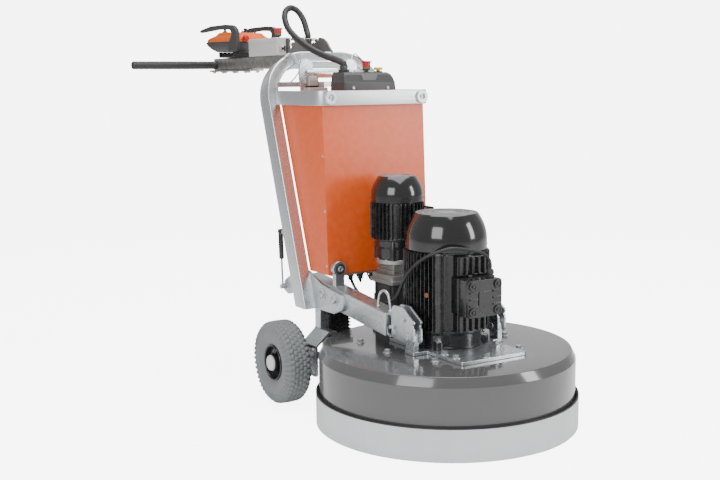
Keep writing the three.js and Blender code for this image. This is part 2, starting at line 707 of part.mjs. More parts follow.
// ---- gas strut and the lever that it holds ----
const strutRadius = 9.5;
const strutFoot = [strutTopY - 10, 388];
const leverNear = strutX + 10;
const leverOutline = flatShape([
  [strutPivotY - 10, strutPivotZ + 16], [strutPivotY + 16, strutPivotZ + 10],
  [strutFoot[0] + 6, strutFoot[1] + 22],
  [strutFoot[0] + 14, strutFoot[1] - 14], [strutFoot[0] - 24, strutFoot[1] - 28],
  [strutPivotY - 22, strutPivotZ - 50],
  [strutPivotY - 20, strutPivotZ - 8],
]);
addNode('strut_lever', cut(sideOn(leverOutline, leverNear, leverNear + 8),
  bore([leverNear - 1, strutPivotY, strutPivotZ], [leverNear + 9, strutPivotY, strutPivotZ], leverPinRadius),
  bore([leverNear - 1, ...strutFoot], [leverNear + 9, ...strutFoot], strutPinRadius, 0.7)), zinc);
const strutAt = share => [strutX, strutTopY + share * (strutFoot[0] - strutTopY),
  strutTopZ + share * (strutFoot[1] - strutTopZ)];
addNode('gas_strut_cylinder', cut(
  join(rod(strutAt(0.03), strutAt(0.5), strutRadius, strutRadius, 16), rod([strutX - 8, strutTopY, strutTopZ],
    [strutX + 8, strutTopY, strutTopZ], 9, 9, 12)),
  bore(strutAt(0.2), strutAt(0.52), strutPinRadius),
  bore([strutX, strutTopY - 20, strutTopZ], [strutX, strutTopY + 3, strutTopZ], strutPinRadius)),
blackPaint);
addNode('gas_strut_rod', join(rod(strutAt(0.4), strutAt(0.98), strutPinRadius),
  rod([strutX - 9, ...strutFoot], [strutX + 9.7, ...strutFoot], 9, 9, 12),
  rod([strutX, ...strutFoot], [leverNear + 8, ...strutFoot], strutPinRadius)), zinc);

// ---- wheels, their legs and gear motors ----
const legOuter = armOuter - fit;
const legInner = legOuter - legWidth;
const bracketOuter = legOuter + legReach;
const legTop = armBottom(axleY) - 4;

function wheelLeg() {
  const column = block(legInner, legOuter, axleY - 2, axleY - 2 + legDepth, 215, legTop);
  const slope = frontOn(flatShape([
    [legInner, 250], [legOuter, 252], [bracketOuter, 204], [bracketOuter, 192], [legOuter, 239],
    [legInner, 238],
  ]), axleY - 62, axleY + 40);
  const flange = block(bracketOuter - 10, bracketOuter, axleY - 62, axleY + 40, wheelRadius - 66, 204);
  return cut(join(column, slope, flange),
    bore([bracketOuter - 12, axleY, wheelRadius], [bracketOuter + 2, axleY, wheelRadius], axleRadius));
}

function gearMotor() {
  const housing = block(legInner - 46, legInner - fit, axleY - 40, axleY + 60, wheelRadius - 44, 214);
  const motor = block(legInner - 106, legInner - fit, axleY, axleY + 74, 208, legTop - 6);
  return cut(join(housing, motor),
    bore([legInner - 24, axleY, wheelRadius], [legInner, axleY, wheelRadius], axleRadius));
}

function wheelRim() {
  const middle = tyreInner + wheelWidth / 2;
  const profile = [
    [0, -wheelWidth / 2 - 4], [34, -wheelWidth / 2 - 4], [34, -6], [rimRadius - 6, -6], [rimRadius - 6, -34],
    [rimRadius, -34], [rimRadius, 34], [rimRadius - 6, 34], [rimRadius - 6, 6], [30, 6],
    [28, wheelWidth / 2 + 4],
    [0, wheelWidth / 2 + 4],
  ];
  const rim = transformed(turned(profile), new THREE.Matrix4().makeRotationY(Math.PI / 2));
  const shaft = rod([legInner - 22, axleY, wheelRadius], [middle, axleY, wheelRadius], axleRadius);
  return join(moved(rim, middle, axleY, wheelRadius), shaft);
}

function wheelTyre() {
  const half = wheelWidth / 2;
  const r = rimRadius + fit;
  const profile = [
    [r, -half + 12], [r + 30, -half], [wheelRadius - 22, -half + 3], [wheelRadius - 4, -half + 16],
    [wheelRadius, -half + 26], [wheelRadius, half - 26], [wheelRadius - 4, half - 16],
    [wheelRadius - 22, half - 3],
    [r + 30, half], [r, half - 12], [r, -half + 12],
  ];
  const tyre = transformed(turned(profile), new THREE.Matrix4().makeRotationY(Math.PI / 2));
  return moved(tyre, tyreInner + half, axleY, wheelRadius);
}

addPair('wheel_leg', wheelLeg(), zinc);
addPair('gear_motor', gearMotor(), blackPaint);
addPair('wheel_rim', wheelRim(), blackPaint);
addPair('tyre', wheelTyre(), rubber);

// ---- electrical cabinet and its guard band ----
const cabinetSide = inset => flatShape([
  [cabinetFront(cabinetBottom) + inset, cabinetBottom + inset],
  [cabinetFront(cabinetTop) + inset, cabinetTop - inset],
  [cabinetRear(cabinetTop) + 3 * inset, cabinetTop - inset],
  [cabinetRear(cabinetBottom) + 3 * inset, cabinetBottom + inset],
]);
addNode('cabinet_shell', cut(sideOn(cabinetSide(0), -cabinetHalf, cabinetHalf),
  sideOn(cabinetSide(cabinetWall), -cabinetHalf + cabinetWall, cabinetHalf - cabinetWall)), orangePaint);
const panelAt = z => cabinetRear(z) + fit;
addNode('cabinet_rear_panel', sideOn(flatShape([
  [panelAt(cabinetBottom), cabinetBottom], [panelAt(cabinetBottom) + cabinetWall, cabinetBottom],
  [panelAt(cabinetTop) + cabinetWall, cabinetTop], [panelAt(cabinetTop), cabinetTop],
]), -cabinetHalf, cabinetHalf), orangePaint);
addNode('frequency_inverter', sideOn(flatShape([
  [cabinetRear(600) - 130, 600], [cabinetRear(600), 600], [cabinetRear(930), 930],
  [cabinetRear(930) - 130, 930],
]), -130, 130), steel(0x8c9094, 0.5));

const bandTop = cabinetTop + bandTopAbove;
const bandMiddle = bandTop - bandHeight / 2;
const bandOuter = cabinetHalf + bandSideGap + bandThickness;
const bandFront = cabinetFront(bandMiddle) - bandFrontGap - bandThickness;

function guardBand() {
  const rear = frameFront(bandTop - bandHeight) - fit;
  const path = (inset, end) => {
    const shape = new THREE.Shape();
    const [half, front, radius] = [bandOuter - inset, bandFront + inset, bandRadius - inset];
    shape.moveTo(-half, end);
    shape.lineTo(-half, front + radius);
    shape.absarc(-half + radius, front + radius, radius, Math.PI, 1.5 * Math.PI);
    shape.absarc(half - radius, front + radius, radius, 1.5 * Math.PI, 2 * Math.PI);
    shape.lineTo(half, end);
    return shape;
  };
  const band = cut(plan(path(0, rear), bandTop - bandHeight, bandHeight),
    plan(path(bandThickness, rear + 10), bandTop - bandHeight - 1, bandHeight + 2));
  const fixings = [];
  for (const x of [-cabinetHalf + 22, cabinetHalf - 22]) {
    fixings.push(rod([x, bandFront - 8, bandMiddle], [x, bandFront + 1, bandMiddle], discRadius, discRadius,
      16));
    fixings.push(rod([x, bandFront + 1, bandMiddle], [x, cabinetFront(bandMiddle) - 2, bandMiddle], 12, 12,
      12));
  }
  return join(band, ...fixings);
}

addNode('guard_band', guardBand(), zinc);

// ---- black cover on the cabinet, with its buttons ----
const stopBase = [14, 10];
const stopHead = [21, 26];
const stopTravel = 4;

// a collar with a bore for a push button's stem
const buttonCollar = (x, y, z, radius, height) => rod([x, y, z - overlap], [x, y, z + height], radius,
  radius, 16);
const buttonBore = (x, y, z) => bore([x, y, z - 30], [x, y, z + 40], 8);

// a stop button: a flared mushroom head on a stem
function stopButton(x, y, z) {
  const foot = z + stopBase[1] + stopTravel + 1;
  return turned([
    [0, z - 10], [8, z - 10], [8, foot], [15, foot], [17, foot + 16], [stopHead[0], foot + stopHead[1] - 3],
    [stopHead[0] - 2, foot + stopHead[1]], [0, foot + stopHead[1]],
  ], 16, x, y);
}

const coverFront = cabinetFront(cabinetTop) + 18;
const coverBase = cabinetTop + fit;
const topCoverTop = coverBase + topCoverHeight;
const buttonRowY = coverFront + 50;
const stopX = 12;
const resetX = 65;
const glandX = -86;

function topCover() {
  const side = inset => flatShape([
    [coverFront + inset, coverBase - inset], [coverFront + 3 + inset, coverBase + 38],
    [coverFront + 12 + inset, topCoverTop - 10], [coverFront + 25 + inset, topCoverTop - inset],
    [coverFront + topCoverDepth - inset, topCoverTop - inset],
    [coverFront + topCoverDepth - inset, coverBase - inset],
  ]);
  const half = topCoverWidth / 2;
  const shell = cut(sideOn(side(0), -half, half), sideOn(side(topCoverWall), -half + topCoverWall,
    half - topCoverWall));
  const gland = rod([glandX, buttonRowY, topCoverTop - 4], [glandX, buttonRowY, topCoverTop + 24], 14);
  const dome = rod([-31, buttonRowY, topCoverTop - 1], [-31, buttonRowY, topCoverTop + 10], 10, 6, 16);
  return cut(join(shell, gland, dome, buttonCollar(stopX, buttonRowY, topCoverTop, stopBase[0], stopBase[1]),
    buttonCollar(resetX, buttonRowY, topCoverTop, 16, 4)),
  buttonBore(stopX, buttonRowY, topCoverTop), buttonBore(resetX, buttonRowY, topCoverTop));
}

addNode('top_cover', topCover(), blackPlastic);
addNode('cabinet_stop_button', stopButton(stopX, buttonRowY, topCoverTop), red);
addNode('reset_button', turned([
  [0, topCoverTop - 10], [8, topCoverTop - 10], [8, topCoverTop + 8], [17, topCoverTop + 8],
  [17, topCoverTop + 15], [14, topCoverTop + 18], [0, topCoverTop + 18],
], 16, resetX, buttonRowY), plastic(0xf2c514, 0.4));

// ---- power connector with its latch ----
const plugX = -139;
const plugHalf = 21;
const plugY = coverFront + topCoverDepth + 95;
const plugTop = cabinetTop + 57;
const latchZ = cabinetTop + 26;
addNode('power_connector', join(
  block(plugX - plugHalf - 4, plugX + plugHalf + 40, plugY - 22, plugY + 22, coverBase, coverBase + 14),
  block(plugX - plugHalf, plugX + plugHalf, plugY - 20, plugY + 20, coverBase + 12, plugTop),
  rod([plugX - plugHalf - 7, plugY, latchZ], [plugX + plugHalf + 7, plugY, latchZ], 4, 4, 12)),
    steel(0x9a958c, 0.5));

function latch() {
  const reach = plugTop + 12;
  const arms = [];
  for (const x of [plugX - plugHalf - 6, plugX + plugHalf + 3]) {
    arms.push(block(x, x + 3, plugY - 7, plugY + 7, latchZ - 7, reach));
  }
  const bridge = block(plugX - plugHalf - 6, plugX + plugHalf + 6, plugY - 7, plugY + 7, reach - 3, reach);
  return cut(join(...arms, bridge),
    bore([plugX - 60, plugY, latchZ], [plugX + 60, plugY, latchZ], 4));
}

addNode('connector_latch', latch(), steel(0xb8babc, 0.3));

// ---- steering handle: boom, bar and grips ----
const boomFront = handlePivotY + 12;
const boomRear = handlePivotY + boomLength;
const boomTop = handlePivotHeight + boomHeight / 2;
const boomBottom = handlePivotHeight - boomHeight / 2;
const barY = boomRear - gripBarSetback;
const lockAngle = Math.PI / 3;
const onRadius = (radius, angle, x = 0) =>
  [x, handlePivotY + radius * Math.cos(angle), handlePivotHeight + radius * Math.sin(angle)];

function boom() {
  const half = boomWidth / 2;
  const tube = cut(block(-half, half, boomFront, boomRear, boomBottom, boomTop),
    block(-half + boomWall, half - boomWall, boomFront + 30, boomRear + 10, boomBottom + boomWall,
      boomTop - boomWall));
  const boss = rod(onRadius(0, 0, -sectorSpacing + 4), onRadius(0, 0, sectorSpacing - 4), bossRadius,
    bossRadius, 24);
  const pin = rod(onRadius(0, 0, -sectorSpacing - sectorPlate - 4),
    onRadius(0, 0, sectorSpacing + sectorPlate + 4), handlePinRadius);
  const guide = rod(onRadius(24, lockAngle), onRadius(72, lockAngle), 12, 12, 16);
  const guideBore = bore(onRadius(41, lockAngle), onRadius(80, lockAngle), lockRodRadius);
  const flange = block(-half - 6, half + 6, boomRear - flangeAhead, boomRear + flangeBeyond, boomBottom - 8,
    boomBottom + 1);
  const barHole = rod([-half - 1, barY, handlePivotHeight - 4], [half + 1, barY, handlePivotHeight - 4],
    gripBarRadius + fit);
  return cut(join(tube, boss, pin, guide, flange), guideBore, barHole);
}

addNode('handle_boom', boom(), darkSteel);
const gripEnd = boomWidth / 2 + 2 + gripLength;
addNode('handle_bar', rod([-gripEnd + 8, barY, handlePivotHeight - 4],
  [gripEnd - 8, barY, handlePivotHeight - 4],
  gripBarRadius), darkSteel);
const grip = cut(
  join(rod([boomWidth / 2 + 2, barY, handlePivotHeight - 4], [gripEnd - 8, barY, handlePivotHeight - 4],
    gripRadius),
    rod([gripEnd - 9, barY, handlePivotHeight - 4], [gripEnd, barY, handlePivotHeight - 4], gripRadius,
      gripRadius - 6)),
  rod([0, barY, handlePivotHeight - 4], [gripEnd - 8 + fit, barY, handlePivotHeight - 4],
    gripBarRadius + fit));
addPair('grip', grip, rubber);

// notched plates on the hoop that the handle is locked against
function sector() {
  const shape = new THREE.Shape();
  const [py, pz] = [handlePivotY, handlePivotHeight];
  shape.moveTo(py - 26, pz - 24);
  shape.lineTo(py + 26, pz - 24);
  shape.absarc(py, pz, sectorRadius, 0.1 * Math.PI, 0.8 * Math.PI);
  shape.lineTo(frameFront(frameTop) - 4, frameTop + 2);
  shape.lineTo(frameFront(frameTop) - 4, frameTop - 20);
  const plate = sideOn(shape, sectorSpacing, sectorSpacing + sectorPlate, 16);
  const notches = notchSteps.map(step => {
    const angle = lockAngle + step * notchStep;
    return rod(onRadius(sectorRadius - notchDepth + 7, angle, 0),
      onRadius(sectorRadius - notchDepth + 7, angle, 100), 7);
  });
  const mouths = notchSteps.map(step => {
    const angle = lockAngle + step * notchStep;
    return moved(transformed(block(0, 100, sectorRadius - notchDepth + 7, sectorRadius + 20, -7, 7),
      new THREE.Matrix4().makeRotationX(angle)), 0, py, pz);
  });
  const pivotHole = bore(onRadius(0, 0, 0), onRadius(0, 0, 100), handlePinRadius);
  return cut(plate, hoopStock(fit), pivotHole, ...notches, ...mouths);
}

addPair('handle_sector', sector(), darkSteel);
const lockBarAt = sectorRadius + lockBarRadius + 2;
addNode('handle_lock_bar', join(
  rod(onRadius(lockBarAt, lockAngle, -sectorSpacing - sectorPlate - 4),
    onRadius(lockBarAt, lockAngle, sectorSpacing + sectorPlate + 4), lockBarRadius, lockBarRadius, 16),
  rod(onRadius(56, lockAngle), onRadius(lockBarAt, lockAngle), lockRodRadius)), zinc);

// ---- control box on the boom ----
const boxStart = handlePivotY + controlBoxStart;
const boxEnd = boxStart + controlBoxLength;
const boxBase = boomTop + fit;
const boxTop = boxBase + controlBoxHeight;
const handleStopY = boxStart + 50;
const keyX = -8;
const keyZ = boxBase + 28;
addNode('control_box', cut(join(
  block(-controlBoxWidth / 2, controlBoxWidth / 2, boxStart, boxEnd, boxBase, boxTop),
  buttonCollar(0, handleStopY, boxTop, stopBase[0], stopBase[1]),
  rod([keyX, boxStart + 1, keyZ], [keyX, boxStart - 8, keyZ], 12)),
buttonBore(0, handleStopY, boxTop),
bore([keyX, boxStart - 20, keyZ], [keyX, boxStart + 8, keyZ], 5)), warmGrey);
addNode('handle_stop_button', stopButton(0, handleStopY, boxTop), red);
addNode('key_switch', join(
  rod([keyX, boxStart - 14, keyZ], [keyX, boxStart + 6, keyZ], 5, 5, 12),
  block(keyX - 2, keyX + 2, boxStart - 26, boxStart - 12, keyZ - 11, keyZ + 11)), darkSteel);

// ---- remote control in its cradle ----
const remoteTurn = 17 * Math.PI / 180;
const remoteX = 6;
const remoteY = handlePivotY + 665;
const cradleBase = boomTop + fit;
const cradleTop = cradleBase + 24;
const remoteBase = cradleTop + fit;
const remoteSeam = remoteBase + 44;
const remoteTop = remoteSeam + 42;
const placeRemote = body => moved(transformed(body, new THREE.Matrix4().makeRotationZ(remoteTurn)), remoteX,
  remoteY, 0);
const joystickX = 62;
const joystickY = 22;
const remoteStopX = -62;

addNode('remote_cradle', placeRemote(join(
  block(-70, 40, -40, 60, cradleBase, cradleBase + 8),
  block(-70, 40, -40, -30, cradleBase, cradleTop), block(-70, 40, 50, 60, cradleBase, cradleTop))),
    blackPlastic);

function remoteShell() {
  const body = sideOn(flatShape([
    [-78, remoteBase], [60, remoteBase], [96, remoteBase + 26], [100, remoteSeam], [-100, remoteSeam],
    [-96, remoteBase + 8],
  ]), -118, 118);
  const rail = sideOn(flatShape([
    [-116, remoteBase], [-80, remoteBase], [-84, remoteSeam - 4], [-112, remoteBase + 84],
    [-96, remoteBase + 102],
    [130, remoteBase + 96], [158, remoteBase + 92], [158, remoteBase + 106], [-60, remoteBase + 118],
    [-108, remoteBase + 114], [-130, remoteBase + 92],
  ].map(([y, z]) => [y, z])), 112, 134);
  return join(body, rail, mirrored(rail));
}

function remoteTopShell() {
  const shell = sideOn(flatShape([
    [-100, remoteSeam + fit], [100, remoteSeam + fit], [92, remoteSeam + 16], [40, remoteTop],
    [-60, remoteTop],
    [-96, remoteSeam + 28],
  ]), -111, 111);
  const sockets = [-joystickX, joystickX].map(x =>
    rod([x, joystickY, remoteTop - 14], [x, joystickY, remoteTop + 4], 16, 16, 20));
  const stopBore = bore([remoteStopX, -110, remoteSeam + 14], [remoteStopX, -80, remoteSeam + 14], 6);
  return cut(shell, ...sockets, stopBore);
}

const joystick = x => join(
  rod([x, joystickY, remoteTop - 8], [x, joystickY, remoteTop + 16], 4, 4, 12),
  rod([x, joystickY, remoteTop + 10], [x, joystickY, remoteTop + 24], 6, 9, 12));

addNode('remote_base', placeRemote(remoteShell()), blackPlastic);
addNode('remote_top', placeRemote(remoteTopShell()), orangePaint);
addNode('joystick_left', placeRemote(joystick(-joystickX)), blackPlastic);
addNode('joystick_right', placeRemote(joystick(joystickX)), blackPlastic);
addNode('remote_stop_button', placeRemote(join(
  rod([remoteStopX, -112, remoteSeam + 14], [remoteStopX, -88, remoteSeam + 14], 6, 6, 12),
  rod([remoteStopX, -122, remoteSeam + 14], [remoteStopX, -106, remoteSeam + 14], 15, 12))), red);

// ---- hose and cable ----
const hoseEntryY = frameRear(frameTop) - 26;
addNode('control_hose', bar([
  [glandX, buttonRowY, topCoverTop + 25], [glandX, buttonRowY, topCoverTop + 30], [-98, 548, 1244],
  [-110, 585, 1255], [-119, 640, 1271],
  [-122, 700, 1290], [-123, 760, 1313], [-125, 825, 1343], [-125, 870, 1371], [-119, 905, 1400],
  [-103, 940, 1430],
  [-79, 965, 1452], [-54, 974, 1460], [-33, 970, 1451], [-21, 956, 1430], [-18, 935, 1403], [-22, 912, 1374],
  [hoseEntryX, hoseEntryY, frameTop + 62], [hoseEntryX, hoseEntryY, frameTop + 51],
], 12.25, 30), blackPlastic);
addNode('motor_cable', bar([
  [cableGlandOffset, -190, terminalBoxBase + terminalBoxHeight + 31], [cableGlandOffset, -190, 566],
  [36, -189, 580], [21, -185, 600],
  [-14, -176, 614], [-57, -167, 623], [-95, -149, 625], [-128, -123, 613], [-154, -88, 592], [-170, -40, 553],
  [-172, 10, 500], [-150, 80, 440], [-128, 160, 400], [-120, 250, 382], [-115, 330, 382], [-111, 395, 398],
  [-110, 438, 430], [-110, 448, 450], [-110, 448, cabinetBottom - 1],
], 5.5, 40), blackPlastic);

// ---- origin at the centre of the base ----
const frontEnd = -skirtRadius;
const rearEnd = boomRear + flangeBeyond;
root.position.set(0, -(frontEnd + rearEnd) / 2, 0);

export default root;
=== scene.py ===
"""Walk-behind planetary floor grinder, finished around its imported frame.

Metres, +Z up. The machine faces -Y and its operator stands at +Y. Each section below makes one piece, or one
group of like pieces: its sizes, surface, finish and the body that it rides on.
"""
import math

import bmesh
import bpy
import numpy as np
from mathutils import Matrix, Vector


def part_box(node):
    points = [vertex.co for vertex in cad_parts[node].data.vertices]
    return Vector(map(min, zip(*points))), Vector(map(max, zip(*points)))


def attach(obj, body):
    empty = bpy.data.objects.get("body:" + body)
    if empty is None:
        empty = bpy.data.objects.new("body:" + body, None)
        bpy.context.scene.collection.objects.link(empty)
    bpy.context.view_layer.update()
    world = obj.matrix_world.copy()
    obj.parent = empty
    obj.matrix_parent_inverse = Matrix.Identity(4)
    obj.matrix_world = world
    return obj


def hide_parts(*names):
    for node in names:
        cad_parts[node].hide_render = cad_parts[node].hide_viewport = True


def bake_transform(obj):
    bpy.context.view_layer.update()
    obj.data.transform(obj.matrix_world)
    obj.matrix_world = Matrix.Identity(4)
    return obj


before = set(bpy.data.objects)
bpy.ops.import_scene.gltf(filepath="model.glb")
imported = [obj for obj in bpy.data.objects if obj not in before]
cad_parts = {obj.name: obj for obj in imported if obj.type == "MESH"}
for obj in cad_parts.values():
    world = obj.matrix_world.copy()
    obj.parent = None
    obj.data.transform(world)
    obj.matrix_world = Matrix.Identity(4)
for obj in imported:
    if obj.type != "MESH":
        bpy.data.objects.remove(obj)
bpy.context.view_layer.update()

# ---- Camera ----
# A normal studio lens, a little above the cabinet's foot, that looks at the machine's front left quarter.
# Every place is measured from the grinding head's axis on the floor, in millimetres, and read off the frame.
skirt_low, skirt_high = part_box("dust_skirt")
head_axis = np.array([(skirt_low.x + skirt_high.x) / 2, (skirt_low.y + skirt_high.y) / 2, 0.0])


def in_frame(points):
    """Millimetres about the head's axis become metres in the shared frame: axis + points / 1000."""
    return head_axis + 0.001 * points


def at(x, y, z):
    """A point in metres from millimetres off the head's axis."""
    return in_frame(np.array([x, y, z], float))


def place_camera():
    """The camera's back vector points from the machine to the lens: azimuth, then height, then a slight roll."""
    azimuth, height, roll = (math.radians(angle) for angle in (-31.891, 8.278, -0.547))
    back = Vector((math.sin(azimuth) * math.cos(height), -math.cos(azimuth) * math.cos(height), math.sin(height)))
    level = Vector((math.cos(azimuth), math.sin(azimuth), 0))
    upright = back.cross(level)
    right = math.cos(roll) * level + math.sin(roll) * upright
    up = math.cos(roll) * upright - math.sin(roll) * level
    lens = bpy.data.cameras.new("studio_camera")
    lens.sensor_width = 36
    lens.lens = 54.44
    lens.clip_end = 60
    camera = bpy.data.objects.new("studio_camera", lens)
    turn = Matrix((right, up, back)).transposed().to_4x4()
    camera.matrix_world = Matrix.Translation(Vector(at(-2185.3, -2955.9, 1164.5))) @ turn
    bpy.context.scene.collection.objects.link(camera)
    bpy.context.scene.camera = camera


place_camera()

# ---- Studio ----
# A white sweep with a pale floor, one large soft light overhead, one at the front left and a strip at the right.
paper = bpy.data.materials.new("studio_paper")
paper.use_nodes = True
paper.node_tree.nodes["Principled BSDF"].inputs["Base Color"].default_value = (0.93, 0.93, 0.93, 1)
paper.node_tree.nodes["Principled BSDF"].inputs["Roughness"].default_value = 0.9
paper.node_tree.nodes["Principled BSDF"].inputs["Emission Color"].default_value = (1, 1, 1, 1)
seen = paper.node_tree.nodes.new("ShaderNodeLightPath")
glow = paper.node_tree.nodes.new("ShaderNodeMapRange")
glow.inputs["To Min"].default_value = 0.12
glow.inputs["To Max"].default_value = 6.0
paper.node_tree.links.new(seen.outputs["Is Camera Ray"], glow.inputs["Value"])
paper.node_tree.links.new(glow.outputs[0], paper.node_tree.nodes["Principled BSDF"].inputs["Emission Strength"])


def studio_sweep(half_width=9.0, front=-9.0, bend=5.0, radius=2.5, top=7.0):
    """The floor runs back to a quarter-round bend and up: a line, an arc and a line, carried across the width."""
    arc = np.linspace(0, math.pi / 2, 24)
    side = np.vstack([[front, 0], np.c_[bend + radius * np.sin(arc), radius * (1 - np.cos(arc))], [bend + radius, top]])
    count = len(side)
    points = np.vstack([np.c_[np.full(count, x), side] for x in (-half_width, half_width)])
    faces = [(i, i + 1, count + i + 1, count + i) for i in range(count - 1)]
    mesh = bpy.data.meshes.new("studio_sweep")
    mesh.from_pydata(points.tolist(), [], faces)
    mesh.materials.append(paper)
    mesh.shade_smooth()
    sweep = bpy.data.objects.new("studio_sweep", mesh)
    sweep.rotation_euler.z = math.radians(-31.9)
    bpy.context.scene.collection.objects.link(sweep)


def soft_light(name, place, aim, width, height, watts):
    """An area light that faces the point that it is aimed at."""
    light = bpy.data.lights.new(name, "AREA")
    light.shape = "RECTANGLE"
    light.size = width
    light.size_y = height
    light.energy = watts
    lamp = bpy.data.objects.new(name, light)
    lamp.location = place
    lamp.rotation_euler = (Vector(aim) - Vector(place)).to_track_quat("-Z", "Y").to_euler()
    bpy.context.scene.collection.objects.link(lamp)


studio_sweep()
soft_light("light_overhead", (0.2, -0.4, 4.2), (0, 0, 0.4), 4.0, 4.0, 215)
soft_light("light_front_left", (-3.6, -2.4, 2.2), (0, -0.2, 0.7), 2.2, 2.2, 88)
soft_light("light_front_right", (2.6, -3.6, 1.9), (0, -0.4, 0.6), 0.9, 2.4, 75)
world = bpy.data.worlds.new("studio_world")
world.use_nodes = True
world.node_tree.nodes["Background"].inputs["Color"].default_value = (1.0, 1.0, 1.0, 1)
world.node_tree.nodes["Background"].inputs["Strength"].default_value = 0.42
bpy.context.scene.world = world

# ---- Power hose from the cabinet to the handle ----
# A stiff corrugated plastic conduit, 24.5 mm across. It springs out of the gland on the black cover, loops over
# the hoop and drops into the adapter between the sector plates, so its own stiffness holds it up.
hose_route = [at(*p) for p in [
    (-86, 519.7, 1224.3), (-86, 519.7, 1229.3), (-98, 548, 1244), (-110, 585, 1255), (-119, 640, 1271),
    (-122, 700, 1290), (-123, 760, 1313), (-125, 825, 1343), (-125, 870, 1371), (-119, 905, 1400), (-103, 940, 1430),
    (-79, 965, 1452), (-54, 974, 1460), (-33, 970, 1451), (-21, 956, 1430), (-18, 935, 1403), (-22, 912, 1374),
    (-30, 884.6, 1347), (-30, 884.6, 1336)]]
hose_diameter = 0.0245


def smooth_path(points, step):
    """A centripetal Catmull-Rom curve through points, cut into equal steps of about the given length."""
    points = np.array(points, float)
    knots = np.vstack([2 * points[0] - points[1], points, 2 * points[-1] - points[-2]])
    gaps = np.linalg.norm(np.diff(knots, axis=0), axis=1) ** 0.5
    t = np.concatenate([[0], np.cumsum(gaps)])
    pieces = []
    for i in range(1, len(knots) - 2):
        u = np.linspace(t[i], t[i + 1], 24, endpoint=False)[:, None]
        a1 = ((t[i] - u) * knots[i - 1] + (u - t[i - 1]) * knots[i]) / (t[i] - t[i - 1])
        a2 = ((t[i + 1] - u) * knots[i] + (u - t[i]) * knots[i + 1]) / (t[i + 1] - t[i])
        a3 = ((t[i + 2] - u) * knots[i + 1] + (u - t[i + 1]) * knots[i + 2]) / (t[i + 2] - t[i + 1])
        b1 = ((t[i + 1] - u) * a1 + (u - t[i - 1]) * a2) / (t[i + 1] - t[i - 1])
        b2 = ((t[i + 2] - u) * a2 + (u - t[i]) * a3) / (t[i + 2] - t[i])
        pieces.append(((t[i + 1] - u) * b1 + (u - t[i]) * b2) / (t[i + 1] - t[i]))
    fine = np.vstack([*pieces, points[-1:]])
    run = np.concatenate([[0], np.cumsum(np.linalg.norm(np.diff(fine, axis=0), axis=1))])
    even = np.linspace(0, run[-1], max(2, int(round(run[-1] / step)) + 1))
    return np.c_[[np.interp(even, run, fine[:, k]) for k in range(3)]].T, run[-1]


def swept(section, path, scale=None, closed=False, across=None):
    """A flat outline carried along a path. Its plane is kept square to the path by turning each frame by the
    least angle from the one before; across sets the first frame's sideways direction."""
    section, path = np.array(section, float), np.array(path, float)
    ahead = np.gradient(path, axis=0) if not closed else np.roll(path, -1, 0) - np.roll(path, 1, 0)
    ahead /= np.linalg.norm(ahead, axis=1)[:, None]
    side = np.array([0.0, 0, 1]) if abs(ahead[0][2]) < 0.9 else np.array([1.0, 0, 0])
    side = np.cross(ahead[0], side) if across is None else np.array(across, float)
    rings = []
    for i, forward in enumerate(ahead):
        side = side - forward * (side @ forward)
        side /= np.linalg.norm(side)
        up = np.cross(side, forward)
        size = 1.0 if scale is None else scale[i]
        rings.append(path[i] + size * (section[:, :1] * side + section[:, 1:] * up))
    points = np.vstack(rings)
    rows, count = len(path), len(section)
    return points, grid_faces(rows, count, closed, True) + ([] if closed else caps(rows, count))


def grid_faces(rows, count, wrap_rows=False, wrap_round=True):
    """Four-sided faces over a grid of points, stored row after row."""
    i, j = np.meshgrid(np.arange(rows if wrap_rows else rows - 1), np.arange(count if wrap_round else count - 1),
                       indexing="ij")
    a, b = i * count + j, i * count + (j + 1) % count
    c, d = (i + 1) % rows * count + (j + 1) % count, (i + 1) % rows * count + j
    return np.stack([a, b, c, d], -1).reshape(-1, 4).tolist()


def caps(rows, count):
    """The two end faces of a swept outline."""
    return [list(range(count))[::-1], list(range((rows - 1) * count, rows * count))]


def circle(radius, sides=24, phase=0.0):
    angles = phase + 2 * math.pi * np.arange(sides) / sides
    return np.c_[radius * np.cos(angles), radius * np.sin(angles)]


def piece(name, body, surfaces, material, replaces=(), bevel=0.0, sharp=38, subdivisions=0):
    """One object from closed surfaces, each a pair of points and faces. Doubled points are merged and faces are
    turned outwards surface by surface, and bevel is the width of a rounded edge in metres."""
    whole = bmesh.new()
    for points, faces in surfaces:
        part_mesh = bpy.data.meshes.new("part")
        part_mesh.from_pydata(np.asarray(points).tolist(), [], [list(face) for face in faces])
        part = bmesh.new()
        part.from_mesh(part_mesh)
        bmesh.ops.remove_doubles(part, verts=part.verts, dist=2e-6)
        bmesh.ops.recalc_face_normals(part, faces=part.faces)
        part.to_mesh(part_mesh)
        part.free()
        whole.from_mesh(part_mesh)
        bpy.data.meshes.remove(part_mesh)
    mesh = bpy.data.meshes.new(name)
    whole.to_mesh(mesh)
    whole.free()
    mesh.materials.append(material)
    mesh.shade_smooth()
    mesh.set_sharp_from_angle(angle=math.radians(sharp))
    made = bpy.data.objects.new(name, mesh)
    bpy.context.scene.collection.objects.link(made)
    if bevel:
        edge = made.modifiers.new("rounded_edges", "BEVEL")
        edge.width = bevel
        edge.segments = 2
        edge.limit_method = "ANGLE"
        edge.angle_limit = math.radians(38)
        edge.harden_normals = True
    if subdivisions:
        skin = made.modifiers.new("subdivision", "SUBSURF")
        skin.levels = skin.render_levels = subdivisions
    if body:
        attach(made, body)
    if replaces:
        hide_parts(*replaces)
    return made


